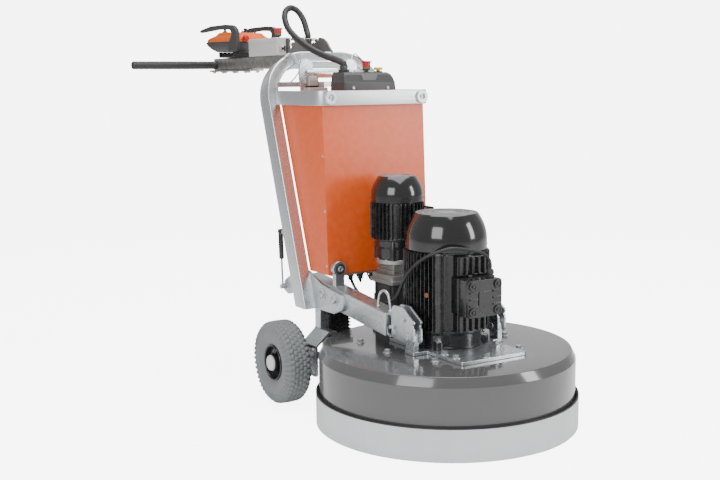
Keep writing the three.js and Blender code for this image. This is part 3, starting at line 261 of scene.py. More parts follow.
def node_group(name, inputs, outputs):
    """An empty shader group with named sockets: (name, kind, default) in, (name, kind) out."""
    group = bpy.data.node_groups.new(name, "ShaderNodeTree")
    for label, kind, value in inputs:
        socket = group.interface.new_socket(label, in_out="INPUT", socket_type=f"NodeSocket{kind}")
        socket.default_value = value
    for label, kind in outputs:
        group.interface.new_socket(label, in_out="OUTPUT", socket_type=f"NodeSocket{kind}")
    return group, group.nodes.new("NodeGroupInput"), group.nodes.new("NodeGroupOutput")


def join_up(tree, kind, values=(), links=(), **settings):
    """A node with its settings, its fixed socket values and the outputs that feed it."""
    node = tree.nodes.new(kind)
    for key, value in settings.items():
        setattr(node, key, value)
    for key, value in values:
        node.inputs[key].default_value = value
    for key, output in links:
        tree.links.new(output, node.inputs[key])
    return node


def grain_group():
    """Cloudy colour and gloss variation with a fine bump: noise read in object space, stretched by Stretch."""
    tree, given, out = node_group("fine_grain", [
        ("Color", "Color", (0.5, 0.5, 0.5, 1)), ("Tint", "Color", (0.4, 0.4, 0.4, 1)), ("Variation", "Float", 0.2),
        ("Scale", "Float", 60.0), ("Stretch", "Vector", (1, 1, 1)), ("Roughness", "Float", 0.4),
        ("Roughness Spread", "Float", 0.1)], [("Color", "Color"), ("Roughness", "Float"), ("Height", "Float")])
    place = tree.nodes.new("ShaderNodeTexCoord").outputs["Object"]
    stretched = join_up(tree, "ShaderNodeVectorMath", links=[(0, place), (1, given.outputs["Stretch"])],
                        operation="MULTIPLY").outputs[0]
    cloud = join_up(tree, "ShaderNodeTexNoise", [("Scale", 7.0), ("Detail", 5.0), ("Roughness", 0.6)],
                    [("Vector", stretched)])
    fine = join_up(tree, "ShaderNodeTexNoise", [("Detail", 6.0), ("Roughness", 0.65)],
                   [("Vector", stretched), ("Scale", given.outputs["Scale"])])
    both = join_up(tree, "ShaderNodeMath", [], [(0, cloud.outputs["Fac"]), (1, fine.outputs["Fac"])],
                   operation="MULTIPLY")
    spread = join_up(tree, "ShaderNodeMapRange", [("From Min", 0.12), ("From Max", 0.42)],
                     [("Value", both.outputs[0])])
    share = join_up(tree, "ShaderNodeMath", [], [(0, spread.outputs[0]), (1, given.outputs["Variation"])],
                    operation="MULTIPLY")
    mixed = join_up(tree, "ShaderNodeMix", [], [], data_type="RGBA")
    tree.links.new(share.outputs[0], mixed.inputs[0])
    tree.links.new(given.outputs["Color"], mixed.inputs[6])
    tree.links.new(given.outputs["Tint"], mixed.inputs[7])
    centred = join_up(tree, "ShaderNodeMath", [(1, 0.5)], [(0, spread.outputs[0])], operation="SUBTRACT")
    rough = join_up(tree, "ShaderNodeMath", [], [(0, centred.outputs[0]), (1, given.outputs["Roughness Spread"]),
                    (2, given.outputs["Roughness"])], operation="MULTIPLY_ADD", use_clamp=True)
    tree.links.new(mixed.outputs[2], out.inputs["Color"])
    tree.links.new(rough.outputs[0], out.inputs["Roughness"])
    tree.links.new(fine.outputs["Fac"], out.inputs["Height"])
    return tree


def wear_group():
    """Rubbed edges: where the surface is sharply convex, broken up by noise, the wear colour shows."""
    tree, given, out = node_group("edge_wear", [
        ("Color", "Color", (0.5, 0.5, 0.5, 1)), ("Wear Color", "Color", (0.7, 0.7, 0.7, 1)),
        ("Amount", "Float", 0.5)], [("Color", "Color"), ("Mask", "Float")])
    point = tree.nodes.new("ShaderNodeNewGeometry").outputs["Pointiness"]
    edge = join_up(tree, "ShaderNodeMapRange", [("From Min", 0.53), ("From Max", 0.62)], [("Value", point)])
    place = tree.nodes.new("ShaderNodeTexCoord").outputs["Object"]
    patch = join_up(tree, "ShaderNodeTexNoise", [("Scale", 45.0), ("Detail", 4.0)], [("Vector", place)])
    broken = join_up(tree, "ShaderNodeMapRange", [("From Min", 0.42), ("From Max", 0.66)],
                     [("Value", patch.outputs["Fac"])])
    rubbed = join_up(tree, "ShaderNodeMath", [], [(0, edge.outputs[0]), (1, broken.outputs[0])], operation="MULTIPLY")
    share = join_up(tree, "ShaderNodeMath", [], [(0, rubbed.outputs[0]), (1, given.outputs["Amount"])],
                    operation="MULTIPLY", use_clamp=True)
    mixed = join_up(tree, "ShaderNodeMix", [], [(0, share.outputs[0]), (6, given.outputs["Color"]),
                    (7, given.outputs["Wear Color"])], data_type="RGBA")
    tree.links.new(mixed.outputs[2], out.inputs["Color"])
    tree.links.new(share.outputs[0], out.inputs["Mask"])
    return tree


fine_grain = grain_group()
edge_wear = wear_group()


def finish(name, colour, roughness, metallic=0.0, tint=None, variation=0.4, scale=90.0, stretch=(1, 1, 1),
           spread=0.12, bump=0.08, depth=0.0004, wear=None, worn=0.5, coat=0.0, coat_roughness=0.05):
    """A surface finish: base colour clouded towards tint, gloss that varies, a fine bump and rubbed edges."""
    made = bpy.data.materials.new(name)
    made.use_nodes = True
    tree = made.node_tree
    shader = tree.nodes["Principled BSDF"]
    grain = tree.nodes.new("ShaderNodeGroup")
    grain.node_tree = fine_grain
    tint = tuple(0.72 * c for c in colour) if tint is None else tint
    for label, value in [("Color", (*colour, 1)), ("Tint", (*tint, 1)), ("Variation", variation), ("Scale", scale),
                         ("Stretch", stretch), ("Roughness", roughness), ("Roughness Spread", spread)]:
        grain.inputs[label].default_value = value
    shown = grain.outputs["Color"]
    if wear:
        rubbed = tree.nodes.new("ShaderNodeGroup")
        rubbed.node_tree = edge_wear
        rubbed.inputs["Wear Color"].default_value = (*wear, 1)
        rubbed.inputs["Amount"].default_value = worn
        tree.links.new(shown, rubbed.inputs["Color"])
        shown = rubbed.outputs["Color"]
    tree.links.new(shown, shader.inputs["Base Color"])
    tree.links.new(grain.outputs["Roughness"], shader.inputs["Roughness"])
    relief = tree.nodes.new("ShaderNodeBump")
    relief.inputs["Strength"].default_value = bump
    relief.inputs["Distance"].default_value = depth
    tree.links.new(grain.outputs["Height"], relief.inputs["Height"])
    tree.links.new(relief.outputs["Normal"], shader.inputs["Normal"])
    shader.inputs["Metallic"].default_value = metallic
    shader.inputs["Coat Weight"].default_value = coat
    shader.inputs["Coat Roughness"].default_value = coat_roughness
    return made


hose_plastic = finish("hose_plastic", (0.022, 0.022, 0.024), 0.42, variation=0.3, bump=0.05)


def power_hose(rib=0.0034, depth=0.055):
    """A round tube whose radius dips in a cosine once every rib length."""
    path, length = smooth_path(hose_route, rib / 4)
    run = np.linspace(0, length, len(path))
    width = 1 - depth * (0.5 - 0.5 * np.cos(2 * math.pi * run / rib))
    hose = piece("power_hose", "chassis", [swept(circle(hose_diameter / 2, 20), path, width)], hose_plastic,
                 ["control_hose"])


power_hose()

# ---- Motor supply cable ----
# A rubber-sheathed cable, 11 mm across, from the terminal box's gland over the motor's fins and back under the
# cabinet. It is held at both ends.
cable_route = [at(*p) for p in [
    (39, -190, 555), (39, -190, 566), (36, -189, 580), (21, -185, 600), (-14, -176, 614), (-57, -167, 623),
    (-95, -149, 625), (-128, -123, 613), (-154, -88, 592), (-170, -40, 553), (-172, 10, 500), (-150, 80, 440),
    (-128, 160, 400), (-120, 250, 382), (-115, 330, 382), (-111, 395, 398), (-110, 438, 430), (-110, 448, 450),
    (-110, 448, 465)]]
cable_diameter = 0.011
cable_rubber = finish("cable_rubber", (0.02, 0.021, 0.023), 0.5, variation=0.3, bump=0.06)


def motor_supply_cable():
    """A plain round tube along the route."""
    path, length = smooth_path(cable_route, 0.006)
    cable = piece("motor_supply_cable", None, [swept(circle(cable_diameter / 2, 16), path)], cable_rubber,
                  ["motor_cable"])
    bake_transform(cable)


motor_supply_cable()

# ---- Head cover ----
# A spun and welded steel bell, bevelled round the top and painted in one glossy dark grey coat.
cover_low, cover_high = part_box("head_cover")
cover_radius = 500 * (cover_high.x - cover_low.x)
cover_top = 1000 * cover_high.z
cover_foot = 1000 * cover_low.z
cover_paint = finish("cover_paint", (0.088, 0.087, 0.089), 0.16, variation=0.18, scale=400, spread=0.06, bump=0.02,
                     wear=(0.2, 0.2, 0.2), worn=0.3, coat=0.6, coat_roughness=0.03)


def rounded(corners, radius, closed=True, steps=4):
    """An outline whose corners are quarter-turn like arcs: a quadratic curve that starts and ends radius before
    and after each corner, or a third of the shorter side where that is less."""
    corners = np.array(corners, float)
    out = [] if closed else [corners[0]]
    picked = range(len(corners)) if closed else range(1, len(corners) - 1)
    for i in picked:
        here, before, after = corners[i], corners[i - 1], corners[(i + 1) % len(corners)]
        back, ahead = before - here, after - here
        reach = min(radius, 0.45 * np.linalg.norm(back), 0.45 * np.linalg.norm(ahead))
        start = here + back / np.linalg.norm(back) * reach
        end = here + ahead / np.linalg.norm(ahead) * reach
        t = np.linspace(0, 1, steps + 1)[:, None]
        out.extend((1 - t) ** 2 * start + 2 * t * (1 - t) * here + t * t * end)
    if not closed:
        out.append(corners[-1])
    return np.array(out)


def turned(profile, x=0.0, y=0.0, sides=96, closed=False):
    """(radius, height) pairs in millimetres turned about the vertical through (x, y): r cos a, r sin a, h."""
    profile = np.array(profile, float)
    angles = 2 * math.pi * np.arange(sides) / sides
    points = np.stack([x + profile[:, :1] * np.cos(angles), y + profile[:, :1] * np.sin(angles),
                       np.repeat(profile[:, 1:], sides, 1)], -1).reshape(-1, 3)
    return in_frame(points), grid_faces(len(profile), sides, closed)


def turned_along(profile, origin, direction, sides=32, closed=False):
    """The same, about a line through origin: each height runs along the direction."""
    profile = np.array(profile, float)
    axis = np.array(direction, float) / np.linalg.norm(direction)
    side = np.cross(axis, [0, 0, 1.0] if abs(axis[2]) < 0.9 else [1.0, 0, 0])
    side /= np.linalg.norm(side)
    up = np.cross(axis, side)
    angles = 2 * math.pi * np.arange(sides) / sides
    ring = np.cos(angles)[:, None] * side + np.sin(angles)[:, None] * up
    points = np.array(origin, float) + profile[:, 1, None, None] * axis + profile[:, 0, None, None] * ring
    return in_frame(points.reshape(-1, 3)), grid_faces(len(profile), sides, closed)


def slab(outline, low, high, along="z"):
    """A flat outline given thickness. Its two coordinates are x, y for z, then y, z for x, and x, z for y."""
    outline = np.array(outline, float)
    columns = {"z": (0, 1, 2), "x": (1, 2, 0), "y": (0, 2, 1)}[along]
    points = np.zeros((2 * len(outline), 3))
    points[:, columns[0]] = np.tile(outline[:, 0], 2)
    points[:, columns[1]] = np.tile(outline[:, 1], 2)
    points[:, columns[2]] = np.repeat([low, high], len(outline))
    return in_frame(points), grid_faces(2, len(outline)) + caps(2, len(outline))


def block(x0, x1, y0, y1, z0, z1, radius=0.0):
    """A box, with its upright edges rounded where a radius is given."""
    corners = [(x0, y0), (x1, y0), (x1, y1), (x0, y1)]
    return slab(rounded(corners, radius) if radius else corners, z0, z1)


cover_profile = rounded([
    (cover_radius - 9, cover_foot), (cover_radius, cover_foot), (cover_radius, cover_top - 30),
    (cover_radius - 15, cover_top), (2, cover_top), (2, cover_top - 4), (cover_radius - 18, cover_top - 4),
    (cover_radius - 4, cover_top - 32), (cover_radius - 4, cover_foot + 3), (cover_radius - 9, cover_foot + 3)], 2.5)
piece("head_cover_shell", "head", [turned(cover_profile, sides=256, closed=True)], cover_paint,
      ["head_cover"], sharp=24)

# ---- Dust skirt ----
# A strip of pale plastic round the cover that floats on the floor. Its ends lap at the front right, and a black
# edge strip is clipped along its top.
skirt_radius = 500 * (skirt_high.x - skirt_low.x)
skirt_top = 1000 * skirt_high.z
skirt_plastic = finish("skirt_plastic", (0.70, 0.715, 0.73), 0.42, tint=(0.56, 0.575, 0.59), variation=0.35, scale=14,
                       stretch=(1, 1, 0.4), spread=0.14, bump=0.05, depth=0.001)
edge_rubber = finish("edge_rubber", (0.012, 0.012, 0.013), 0.5, bump=0.05)


def skirt_strip(lap_angle=-26.0, lap=4.0):
    """A ring wall whose outer radius steps in by a strip's thickness past the lap and swells back over the turn."""
    angles = np.radians(np.concatenate([[lap_angle], np.linspace(lap_angle + 0.15, lap_angle + 360, 288)]))
    outer = skirt_radius - lap * np.concatenate([[0.0], np.clip(1 - np.linspace(0, 360, 288) / 40, 0, 1) * 0.6])
    outer -= 0.5 * (1 - np.cos(9 * angles))
    heights = np.array([0.0, 1.0, skirt_top - 6, skirt_top - 4])
    inset = np.array([1.0, 0.0, 0.0, 1.0])
    wall = [(outer - inset[k], np.full(len(angles), heights[k])) for k in range(4)]
    wall += [(np.full(len(angles), skirt_radius - 6.0), np.full(len(angles), h)) for h in (skirt_top - 4, 0.0)]
    points = np.stack([np.stack([r * np.cos(angles), r * np.sin(angles), h], -1) for r, h in wall])
    return in_frame(points.reshape(-1, 3)), grid_faces(6, len(angles), wrap_rows=True)


piece("dust_skirt_strip", "skirt", [skirt_strip()], skirt_plastic, ["dust_skirt"], sharp=30)
lip = rounded([(skirt_radius - 7, skirt_top - 5), (skirt_radius, skirt_top - 5), (skirt_radius, skirt_top),
               (skirt_radius - 7, skirt_top)], 1.2)
piece("skirt_edge_strip", "skirt", [turned(lip, sides=256, closed=True)], edge_rubber)

# ---- Yoke plate ----
# A bevelled steel plate bolted over the cover. It carries the motor and two upright lugs that hang in the forks.
zinc = (0.60, 0.635, 0.66)
zinc_plate = finish("zinc_plate", zinc, 0.3, 0.9, tint=(0.47, 0.51, 0.545), variation=0.4, scale=40, spread=0.14,
                    bump=0.06, depth=0.0006, wear=(0.82, 0.84, 0.85), worn=0.5)
zinc_screw = finish("zinc_screw", (0.66, 0.68, 0.69), 0.28, 0.9, tint=(0.5, 0.52, 0.55), variation=0.4, bump=0.04)
deck = cover_top + 0.3
yoke_top = deck + 12.3
pivot_y, pivot_z = -50.0, 320.0
fork_middle = 177.0


def hexagon(across, phase=0.0):
    return circle(across / math.sqrt(3), 6, phase)


def lifted(outline, levels, origin, direction):
    """A flat outline carried along a direction: each level is (distance, size)."""
    axis = np.array(direction, float) / np.linalg.norm(direction)
    side = np.cross(axis, [0, 0, 1.0] if abs(axis[2]) < 0.9 else [1.0, 0, 0])
    side /= np.linalg.norm(side)
    up = np.cross(axis, side)
    flat = outline[:, :1] * side + outline[:, 1:] * up
    points = np.vstack([np.array(origin, float) + distance * axis + size * flat for distance, size in levels])
    return in_frame(points), grid_faces(len(levels), len(outline)) + caps(len(levels), len(outline))


def hex_bolt(origin, direction, across=13.0, washer=True, height=None, phase=0.3):
    """A hexagon head with a chamfered top, on a flat washer."""
    height = 0.55 * across if height is None else height
    rise = 2.0 if washer else 0.0
    parts = [lifted(hexagon(across, phase), [(rise - 0.3, 1), (rise + height - 0.8, 1), (rise + height, 0.88)], origin,
                    direction)]
    if washer:
        parts.append(turned_along(rounded([(0, 0), (0.85 * across, 0), (0.85 * across, rise), (0, rise)], 0.5, False),
                                  origin, direction, 28))
    return parts


def yoke():
    half, front, rear = 134, -268, 160
    ear, ear_front, ear_rear = fork_middle + 14, pivot_y - 28, pivot_y + 28
    outline = [(-half, front), (half, front), (half, ear_front), (ear, ear_front), (ear, ear_rear), (half, ear_rear),
               (half, rear), (-half, rear), (-half, ear_rear), (-ear, ear_rear), (-ear, ear_front), (-half, ear_front)]
    arc = np.linspace(0, math.pi, 17)
    lug = np.vstack([[pivot_y + 24, yoke_top - 1], np.c_[pivot_y + 24 * np.cos(arc), pivot_z + 24 * np.sin(arc)],
                     [pivot_y - 24, yoke_top - 1]])
    plates = [slab(rounded(outline, 12), deck, deck + 12)]
    for side in (-1, 1):
        plates.append(slab(lug, side * fork_middle - 10, side * fork_middle + 10, "x"))
    return plates


piece("yoke_weldment", "head", yoke(), zinc_plate, ["head_yoke"], bevel=0.0015)
yoke_bolts = []
for x, y in [(-113, -144), (-113, -206), (-22, -250), (81, -184), (113, -140), (-113, 132), (113, 132), (0, 142)]:
    yoke_bolts += hex_bolt((x, y, yoke_top - 0.3), (0, 0, 1), 19, phase=0.1 * x)
for x, y in [(-230, 18), (-166, -164), (168, -185), (255, -5), (-230, 190), (230, 190)]:
    yoke_bolts += hex_bolt((x, y, cover_top - 0.2), (0, 0, 1), 19, phase=0.3 * x)
piece("yoke_bolts", "head", yoke_bolts, zinc_screw)

# ---- Main motor ----
# A totally enclosed, fan-cooled motor on its flange: an aluminium body with thin upright fins, a machined foot
# with recesses, ribbed pads round the terminal box and a plug, all in black enamel.
black_enamel = finish("black_enamel", (0.012, 0.012, 0.0125), 0.26, tint=(0.022, 0.022, 0.023), variation=0.6,
                      scale=220, spread=0.12, bump=0.12, depth=0.0004, wear=(0.07, 0.07, 0.072), worn=0.5, coat=0.25)
motor_low, motor_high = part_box("main_motor")
barrel_base, barrel_top = yoke_top + 53, 1000 * motor_high.z
core_radius, fin_radius = 124.0, 500 * (motor_high.x - motor_low.x)


def upright_fin(angle, inner, outer, base, top, half=1.7, x=0.0, y=0.0, lean=4.0):
    """A thin radial wall, thinner at its outer edge, whose top and bottom corners are cut back."""
    levels = [(inner, base, top, half * 1.25), (outer - lean, base + 1.5, top - 1.5, half),
              (outer, base + lean + 2, top - lean - 2, half * 0.55)]
    radial = np.array([math.cos(angle), math.sin(angle), 0])
    across = np.array([-math.sin(angle), math.cos(angle), 0])
    rings = []
    for radius, low, high, wide in levels:
        for turn, z in [(-wide, low), (wide, low), (wide, high), (-wide, high)]:
            rings.append(np.array([x, y, 0]) + radius * radial + turn * across + np.array([0, 0, z]))
    return in_frame(np.array(rings)), grid_faces(3, 4) + caps(3, 4)


def main_motor_body():
    parts = [turned(rounded([
        (0, yoke_top), (130, yoke_top), (130, yoke_top + 5), (core_radius + 3, yoke_top + 8),
        (core_radius + 3, barrel_base - 6), (core_radius + 9, barrel_base), (core_radius + 9, barrel_base + 9),
        (core_radius, barrel_base + 12), (core_radius, barrel_top - 10), (core_radius + 5, barrel_top - 8),
        (core_radius + 5, barrel_top), (0, barrel_top)], 1.5, closed=False), sides=128)]
    clear_of_box = math.radians(33)
    for k in range(60):
        angle = 2 * math.pi * k / 60
        from_front = abs((angle + math.pi / 2 + math.pi) % (2 * math.pi) - math.pi)
        if from_front > clear_of_box:
            parts.append(upright_fin(angle, core_radius - 3, fin_radius - 0.3, barrel_base + 4, barrel_top - 3))
    for side in (-1, 1):
        angle = -math.pi / 2 + side * math.radians(48)
        parts.append(upright_fin(angle, core_radius - 3, fin_radius - 2, barrel_base + 2, barrel_top - 2, 11, lean=3))
    return parts


def motor_pads():
    """Ribbed bosses over, under and beside the terminal box."""
    parts = [block(-62, 62, -fin_radius - 3, -core_radius + 12, 402, 522, 6)]
    for low, high in [(barrel_base + 6, 398), (528, barrel_top - 14)]:
        parts.append(block(-56, 56, -fin_radius + 8, -core_radius + 10, low, high, 4))
        for x in np.linspace(-50, 50, 5):
            parts.append(block(x - 4, x + 4, -fin_radius - 2, -fin_radius + 10, low + 3, high - 3, 3))
    for angle in np.radians([222, 318, 40, 140]):
        foot = np.array([math.cos(angle), math.sin(angle)])
        parts.append(turned([(0, yoke_top), (17, yoke_top), (17, yoke_top + 24), (14, yoke_top + 27),
                             (0, yoke_top + 27)], *(128 * foot), sides=24))
    return parts


piece("main_motor_body", "head", main_motor_body(), black_enamel, ["main_motor"], sharp=30)
piece("main_motor_pads", "head", motor_pads(), black_enamel, bevel=0.0015)
motor_bolts = []
for angle in np.radians([222, 318, 40, 140]):
    motor_bolts += hex_bolt((128 * math.cos(angle), 128 * math.sin(angle), yoke_top + 27), (0, 0, 1), 15)
piece("motor_foot_bolts", "head", motor_bolts, zinc_screw)
plug_plastic = finish("plug_plastic", (0.30, 0.075, 0.02), 0.4)
plug_out = np.array([math.cos(math.radians(207)), math.sin(math.radians(207)), 0])
plug_at = (fin_radius - 7) * plug_out + np.array([0, 0, 462.0])
piece("motor_drain_plug", "head", [turned_along(rounded(
    [(0, 0), (8, 0), (8, 6), (4, 6), (4, 4), (0, 4)], 0.8, False), plug_at, plug_out, 24)], plug_plastic)

# ---- Terminal box ----
# A cast box on the motor's front. Its lid has four screw bosses, three cooling ribs each side and a plain panel
# in the middle, and the cable's gland is screwed into its roof.
box_low, box_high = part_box("terminal_box")
box_front = 1000 * (box_low.y - head_axis[1])
box_back = 1000 * (box_high.y - head_axis[1])
box_half = 500 * (box_high.x - box_low.x)
box_base, box_roof = 400.0, 524.0
parts = [block(-box_half + 3, box_half - 3, box_front + 22, box_back, box_base + 2, box_roof - 2, 8),
         slab(rounded([(-box_half, box_base), (box_half, box_base), (box_half, box_roof), (-box_half, box_roof)], 14),
              box_front + 9, box_front + 23, "y"),
         slab(rounded([(-27, 438), (27, 438), (27, 486), (-27, 486)], 3), box_front + 5.5, box_front + 10, "y")]
for side in (-1, 1):
    for z in (box_base + 19, box_roof - 19):
        parts.append(turned_along(rounded([(0, -8), (15, -8), (15, 2), (9, 2), (9, 0), (0, 0)], 1.2, False),
                                  (side * (box_half - 18), box_front + 6, z), (0, -1, 0), 32))
    for z in (440, 462, 484):
        parts.append(block(side * 47 - 16, side * 47 + 16, box_front + 4, box_front + 11, z - 3, z + 3, 1))
piece("terminal_box_casting", "head", parts, black_enamel, ["terminal_box"], bevel=0.0014)
screws = []
for side in (-1, 1):
    for z in (box_base + 19, box_roof - 19):
        screws += hex_bolt((side * (box_half - 18), box_front + 6, z), (0, -1, 0), 9, washer=False, height=3.5)
piece("terminal_box_screws", "head", screws, black_enamel)
gland_plastic = finish("gland_plastic", (0.03, 0.03, 0.032), 0.4)
gland_at = (39, -190, box_roof - 2)
piece("cable_gland", "head", [
    lifted(hexagon(24), [(0, 1), (9, 1), (10, 0.93)], gland_at, (0, 0, 1)),
    turned_along(rounded([(0, 9), (9.5, 9), (9.5, 14), (12, 14), (12, 24), (8, 31), (0, 31)], 1, False), gland_at,
                 (0, 0, 1), 28)], gland_plastic)

# ---- Main motor's fan cowl ----
# A deep-drawn steel cup in gloss black over the fan. Its roof curves in to a pale cast grille of fine radial slots
# round a raised centre, and screws hold its skirt to the barrel.
cowl_black = finish("cowl_black", (0.011, 0.011, 0.0115), 0.16, tint=(0.02, 0.02, 0.02), variation=0.4, scale=300,
                    spread=0.08, bump=0.03, wear=(0.06, 0.06, 0.06), worn=0.3, coat=0.7, coat_roughness=0.04)
grille_grey = finish("grille_grey", (0.40, 0.405, 0.41), 0.36, 0.5, tint=(0.26, 0.265, 0.27), variation=0.6,
                     scale=160, bump=0.1)


def fan_cowl(node, name, y, grille):
    """The cup leans in by a power of its height; the grille's bars stand round it in rows with rings between."""
    low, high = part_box(node)
    radius, base, top = 500 * (high.x - low.x), 1000 * low.z, 1000 * high.z
    rise = top - base
    share = np.linspace(0, 1, 40)
    bend = np.clip((share - 0.22) / 0.78, 0, 1) ** 2.1
    side = np.c_[radius - bend * (radius - grille - 1), base + share * (rise - 3)]
    outline = np.vstack([side, [grille - 1, top - 2.4], [grille - 2, top - 9], (side - [3.5, 0])[-4::-1]])
    piece(name, "head", [turned(outline, 0, y, 128, True)], cowl_black, [node], sharp=50)
    well = [turned([(0, top - 16), (grille - 2, top - 16), (grille - 2, top - 12), (0, top - 12)], 0, y, 64)]
    piece(name + "_well", "head", well, black_enamel)
    bars = []
    rows = [(0.30 * grille, 0.52 * grille, 30), (0.54 * grille, 0.75 * grille, 44), (0.77 * grille, 0.975 * grille, 60)]
    for inner, outer, count in rows:
        for k in range(count):
            bars.append(upright_fin(2 * math.pi * k / count, inner, outer, top - 8, top - 1.6,
                                    0.28 * 2 * math.pi * inner / count, 0, y, 1))
    for ring in (0.29, 0.53, 0.76, 0.965):
        bars.append(turned([(ring * grille - 2, top - 9), (ring * grille + 2, top - 9), (ring * grille + 2, top - 1.5),
                            (ring * grille - 2, top - 1.5)], 0, y, 96, True))
    bars.append(turned(rounded([(0, top - 9), (0.3 * grille, top - 9), (0.3 * grille, top - 1.2), (0, top)], 1.5,
                               closed=False), 0, y, 64))
    piece(name + "_grille", "head", bars, grille_grey)
    screws = []
    for angle in np.radians([35, 145, 215, 325]):
        out = np.array([math.cos(angle), math.sin(angle), 0])
        screws += hex_bolt(np.array([0, y, base + 12]) + (radius - 0.6) * out, out, 6, washer=False, height=2)
    piece(name + "_screws", "head", screws, black_enamel)


fan_cowl("main_motor_cowl", "main_fan_cowl", 0, 106)

# ---- Planet motor and its gearbox ----
# A smaller motor of the same make on a light ring flange and a stepped cast gearbox. The motor carries its own
# little terminal box at the right.
planet_y = 300.0
cast_dark = finish("cast_dark", (0.06, 0.06, 0.058), 0.5, 0.2, variation=0.6, scale=120, bump=0.3, depth=0.0005)
cast_grey = finish("cast_grey", (0.27, 0.262, 0.24), 0.5, 0.35, tint=(0.12, 0.117, 0.108), variation=0.7, scale=120,
                   bump=0.35, depth=0.0006, wear=(0.4, 0.39, 0.37), worn=0.6)
flange_grey = finish("flange_grey", (0.42, 0.42, 0.41), 0.4, 0.6, variation=0.5, scale=150, bump=0.2)
planet_low, planet_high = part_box("planet_motor")
flange_base, planet_top = 1000 * planet_low.z, 1000 * planet_high.z
planet_core, planet_fin = 82.0, 500 * (planet_high.x - planet_low.x)


def square(half, radius, y=planet_y):
    return rounded([(-half, y - half), (half, y - half), (half, y + half), (-half, y + half)], radius)


def planet_gearbox():
    """Square castings with rounded corners: a ribbed dark case below, a pale stepped adapter on top."""
    lower = [slab(square(62, 12), deck, 443), slab(square(70, 12), deck, deck + 14)]
    for shift in (-46, 46):
        lower.append(block(shift - 4, shift + 4, planet_y - 67, planet_y + 67, deck + 12, 442))
        lower.append(block(-67, 67, planet_y + shift - 4, planet_y + shift + 4, deck + 12, 442))
    upper = [slab(square(76, 16), 442, 456), slab(square(70, 16), 455, 474),
        slab(square(50, 8), 473, flange_base - 0.3),
             slab(square(57, 10), 486, 492)]
    return lower, upper


def planet_motor_body():
    core = planet_core
    parts = [turned(rounded([
        (0, 528), (64, 528), (core - 6, 532), (core - 6, 568), (core, 578), (core, 597), (core + 4, 600),
        (core + 4, 606), (core, 608), (core, planet_top - 6), (core + 3, planet_top - 5), (core + 3, planet_top),
        (0, planet_top)], 2, closed=False), 0, planet_y, 96)]
    for k in range(36):
        parts.append(upright_fin(2 * math.pi * (k + 0.5) / 36, core - 3, planet_fin - 0.3, 603, planet_top - 2, 1.5, 0,
                                 planet_y, 3))
    for angle in np.radians([45, 135, 225, 315]):
        parts.append(turned([(0, 528), (13, 528), (13, 590), (10, 598), (0, 598)], 72 * math.cos(angle),
                            planet_y + 72 * math.sin(angle), 24))
    parts.append(block(core - 4, 128, planet_y - 42, planet_y + 42, 628, 706, 5))
    parts.append(block(122, 134, planet_y - 46, planet_y + 46, 624, 710, 5))
    return parts


gearbox_case, gearbox_adapter = planet_gearbox()
piece("planet_gearbox_case", "head", gearbox_case, cast_dark, ["planet_gearbox"], bevel=0.0018)
piece("planet_gearbox_adapter", "head", gearbox_adapter, cast_grey, bevel=0.0018)
piece("planet_motor_flange", "head", [turned(rounded(
    [(0, flange_base), (76, flange_base), (76, 528.5), (0, 528.5)], 2, closed=False), 0, planet_y, 64)], flange_grey)
piece("planet_motor_body", "head", planet_motor_body(), black_enamel, ["planet_motor"], sharp=30)
planet_bolts = []
for angle in np.radians(np.arange(22.5, 360, 45)):
    planet_bolts += hex_bolt((69 * math.cos(angle), planet_y + 69 * math.sin(angle), 528.2), (0, 0, 1), 9)
for angle in np.radians([45, 135, 225, 315]):
    out = np.array([math.cos(angle), math.sin(angle), 0])
    planet_bolts += hex_bolt(np.array([0, planet_y, 456.0]) + 84 * out, (0, 0, 1), 12)
    planet_bolts += hex_bolt(np.array([0, planet_y, deck + 13.8]) + 84 * out, (0, 0, 1), 12)
piece("planet_motor_bolts", "head", planet_bolts, zinc_screw)
fan_cowl("planet_motor_cowl", "planet_fan_cowl", planet_y, 66)

# ---- Arms with their lifting loops and posts ----
# Two box tubes that reach forward from the frame to the head. Each has a welded seam, a round-headed post with a
# bolt and a bent rod to lift it by, all zinc plated.
arm_inner, arm_outer, arm_middle = 148.0, 212.0, 180.0
arm_front, arm_depth, axle_y = 60.0, 80.0, 501.875
lean = math.radians(18.5)


def arm_top(y):
    return 389.5 + 0.103 * (y - arm_front)


def frame_front(z):
    """y of the leaning frame's front face at a height."""
    return 510.875 + math.tan(lean) * (z - 330)


def frame_rear(z):
    return frame_front(z) + 76 / math.cos(lean)


def weld_bead(points, radius=2.6):
    """A bead along a line, its radius rippled by a cosine every 5 mm."""
    path, length = smooth_path([at(*p) for p in points], 0.0012)
    run = np.linspace(0, length, len(path))
    return swept(circle(0.001 * radius, 8), path, 1 + 0.14 * np.cos(2 * math.pi * run / 0.005))


def bent_rod(points, radius, step=0.004, sides=14):
    """A round rod along a smooth curve through points in millimetres."""
    return swept(circle(0.001 * radius, sides), smooth_path([at(*p) for p in points], step)[0])


def box_tube(outline, low, high, wall, along="x"):
    """The side walls of a tube whose mouths are open: an outline and its inset, joined at both ends."""
    outline = np.array(outline, float)
    middle = outline.mean(axis=0)
    inner = middle + (outline - middle) * (1 - 2 * wall / np.ptp(outline, axis=0))
    columns = {"z": (0, 1, 2), "x": (1, 2, 0), "y": (0, 2, 1)}[along]
    rings = [(outline, low), (outline, high), (inner, high), (inner, low)]
    points = np.zeros((4 * len(outline), 3))
    for k, (ring, level) in enumerate(rings):
        rows = slice(k * len(outline), (k + 1) * len(outline))
        points[rows, columns[0]], points[rows, columns[1]], points[rows, columns[2]] = ring[:, 0], ring[:, 1], level
    return in_frame(points), grid_faces(4, len(outline), wrap_rows=True)


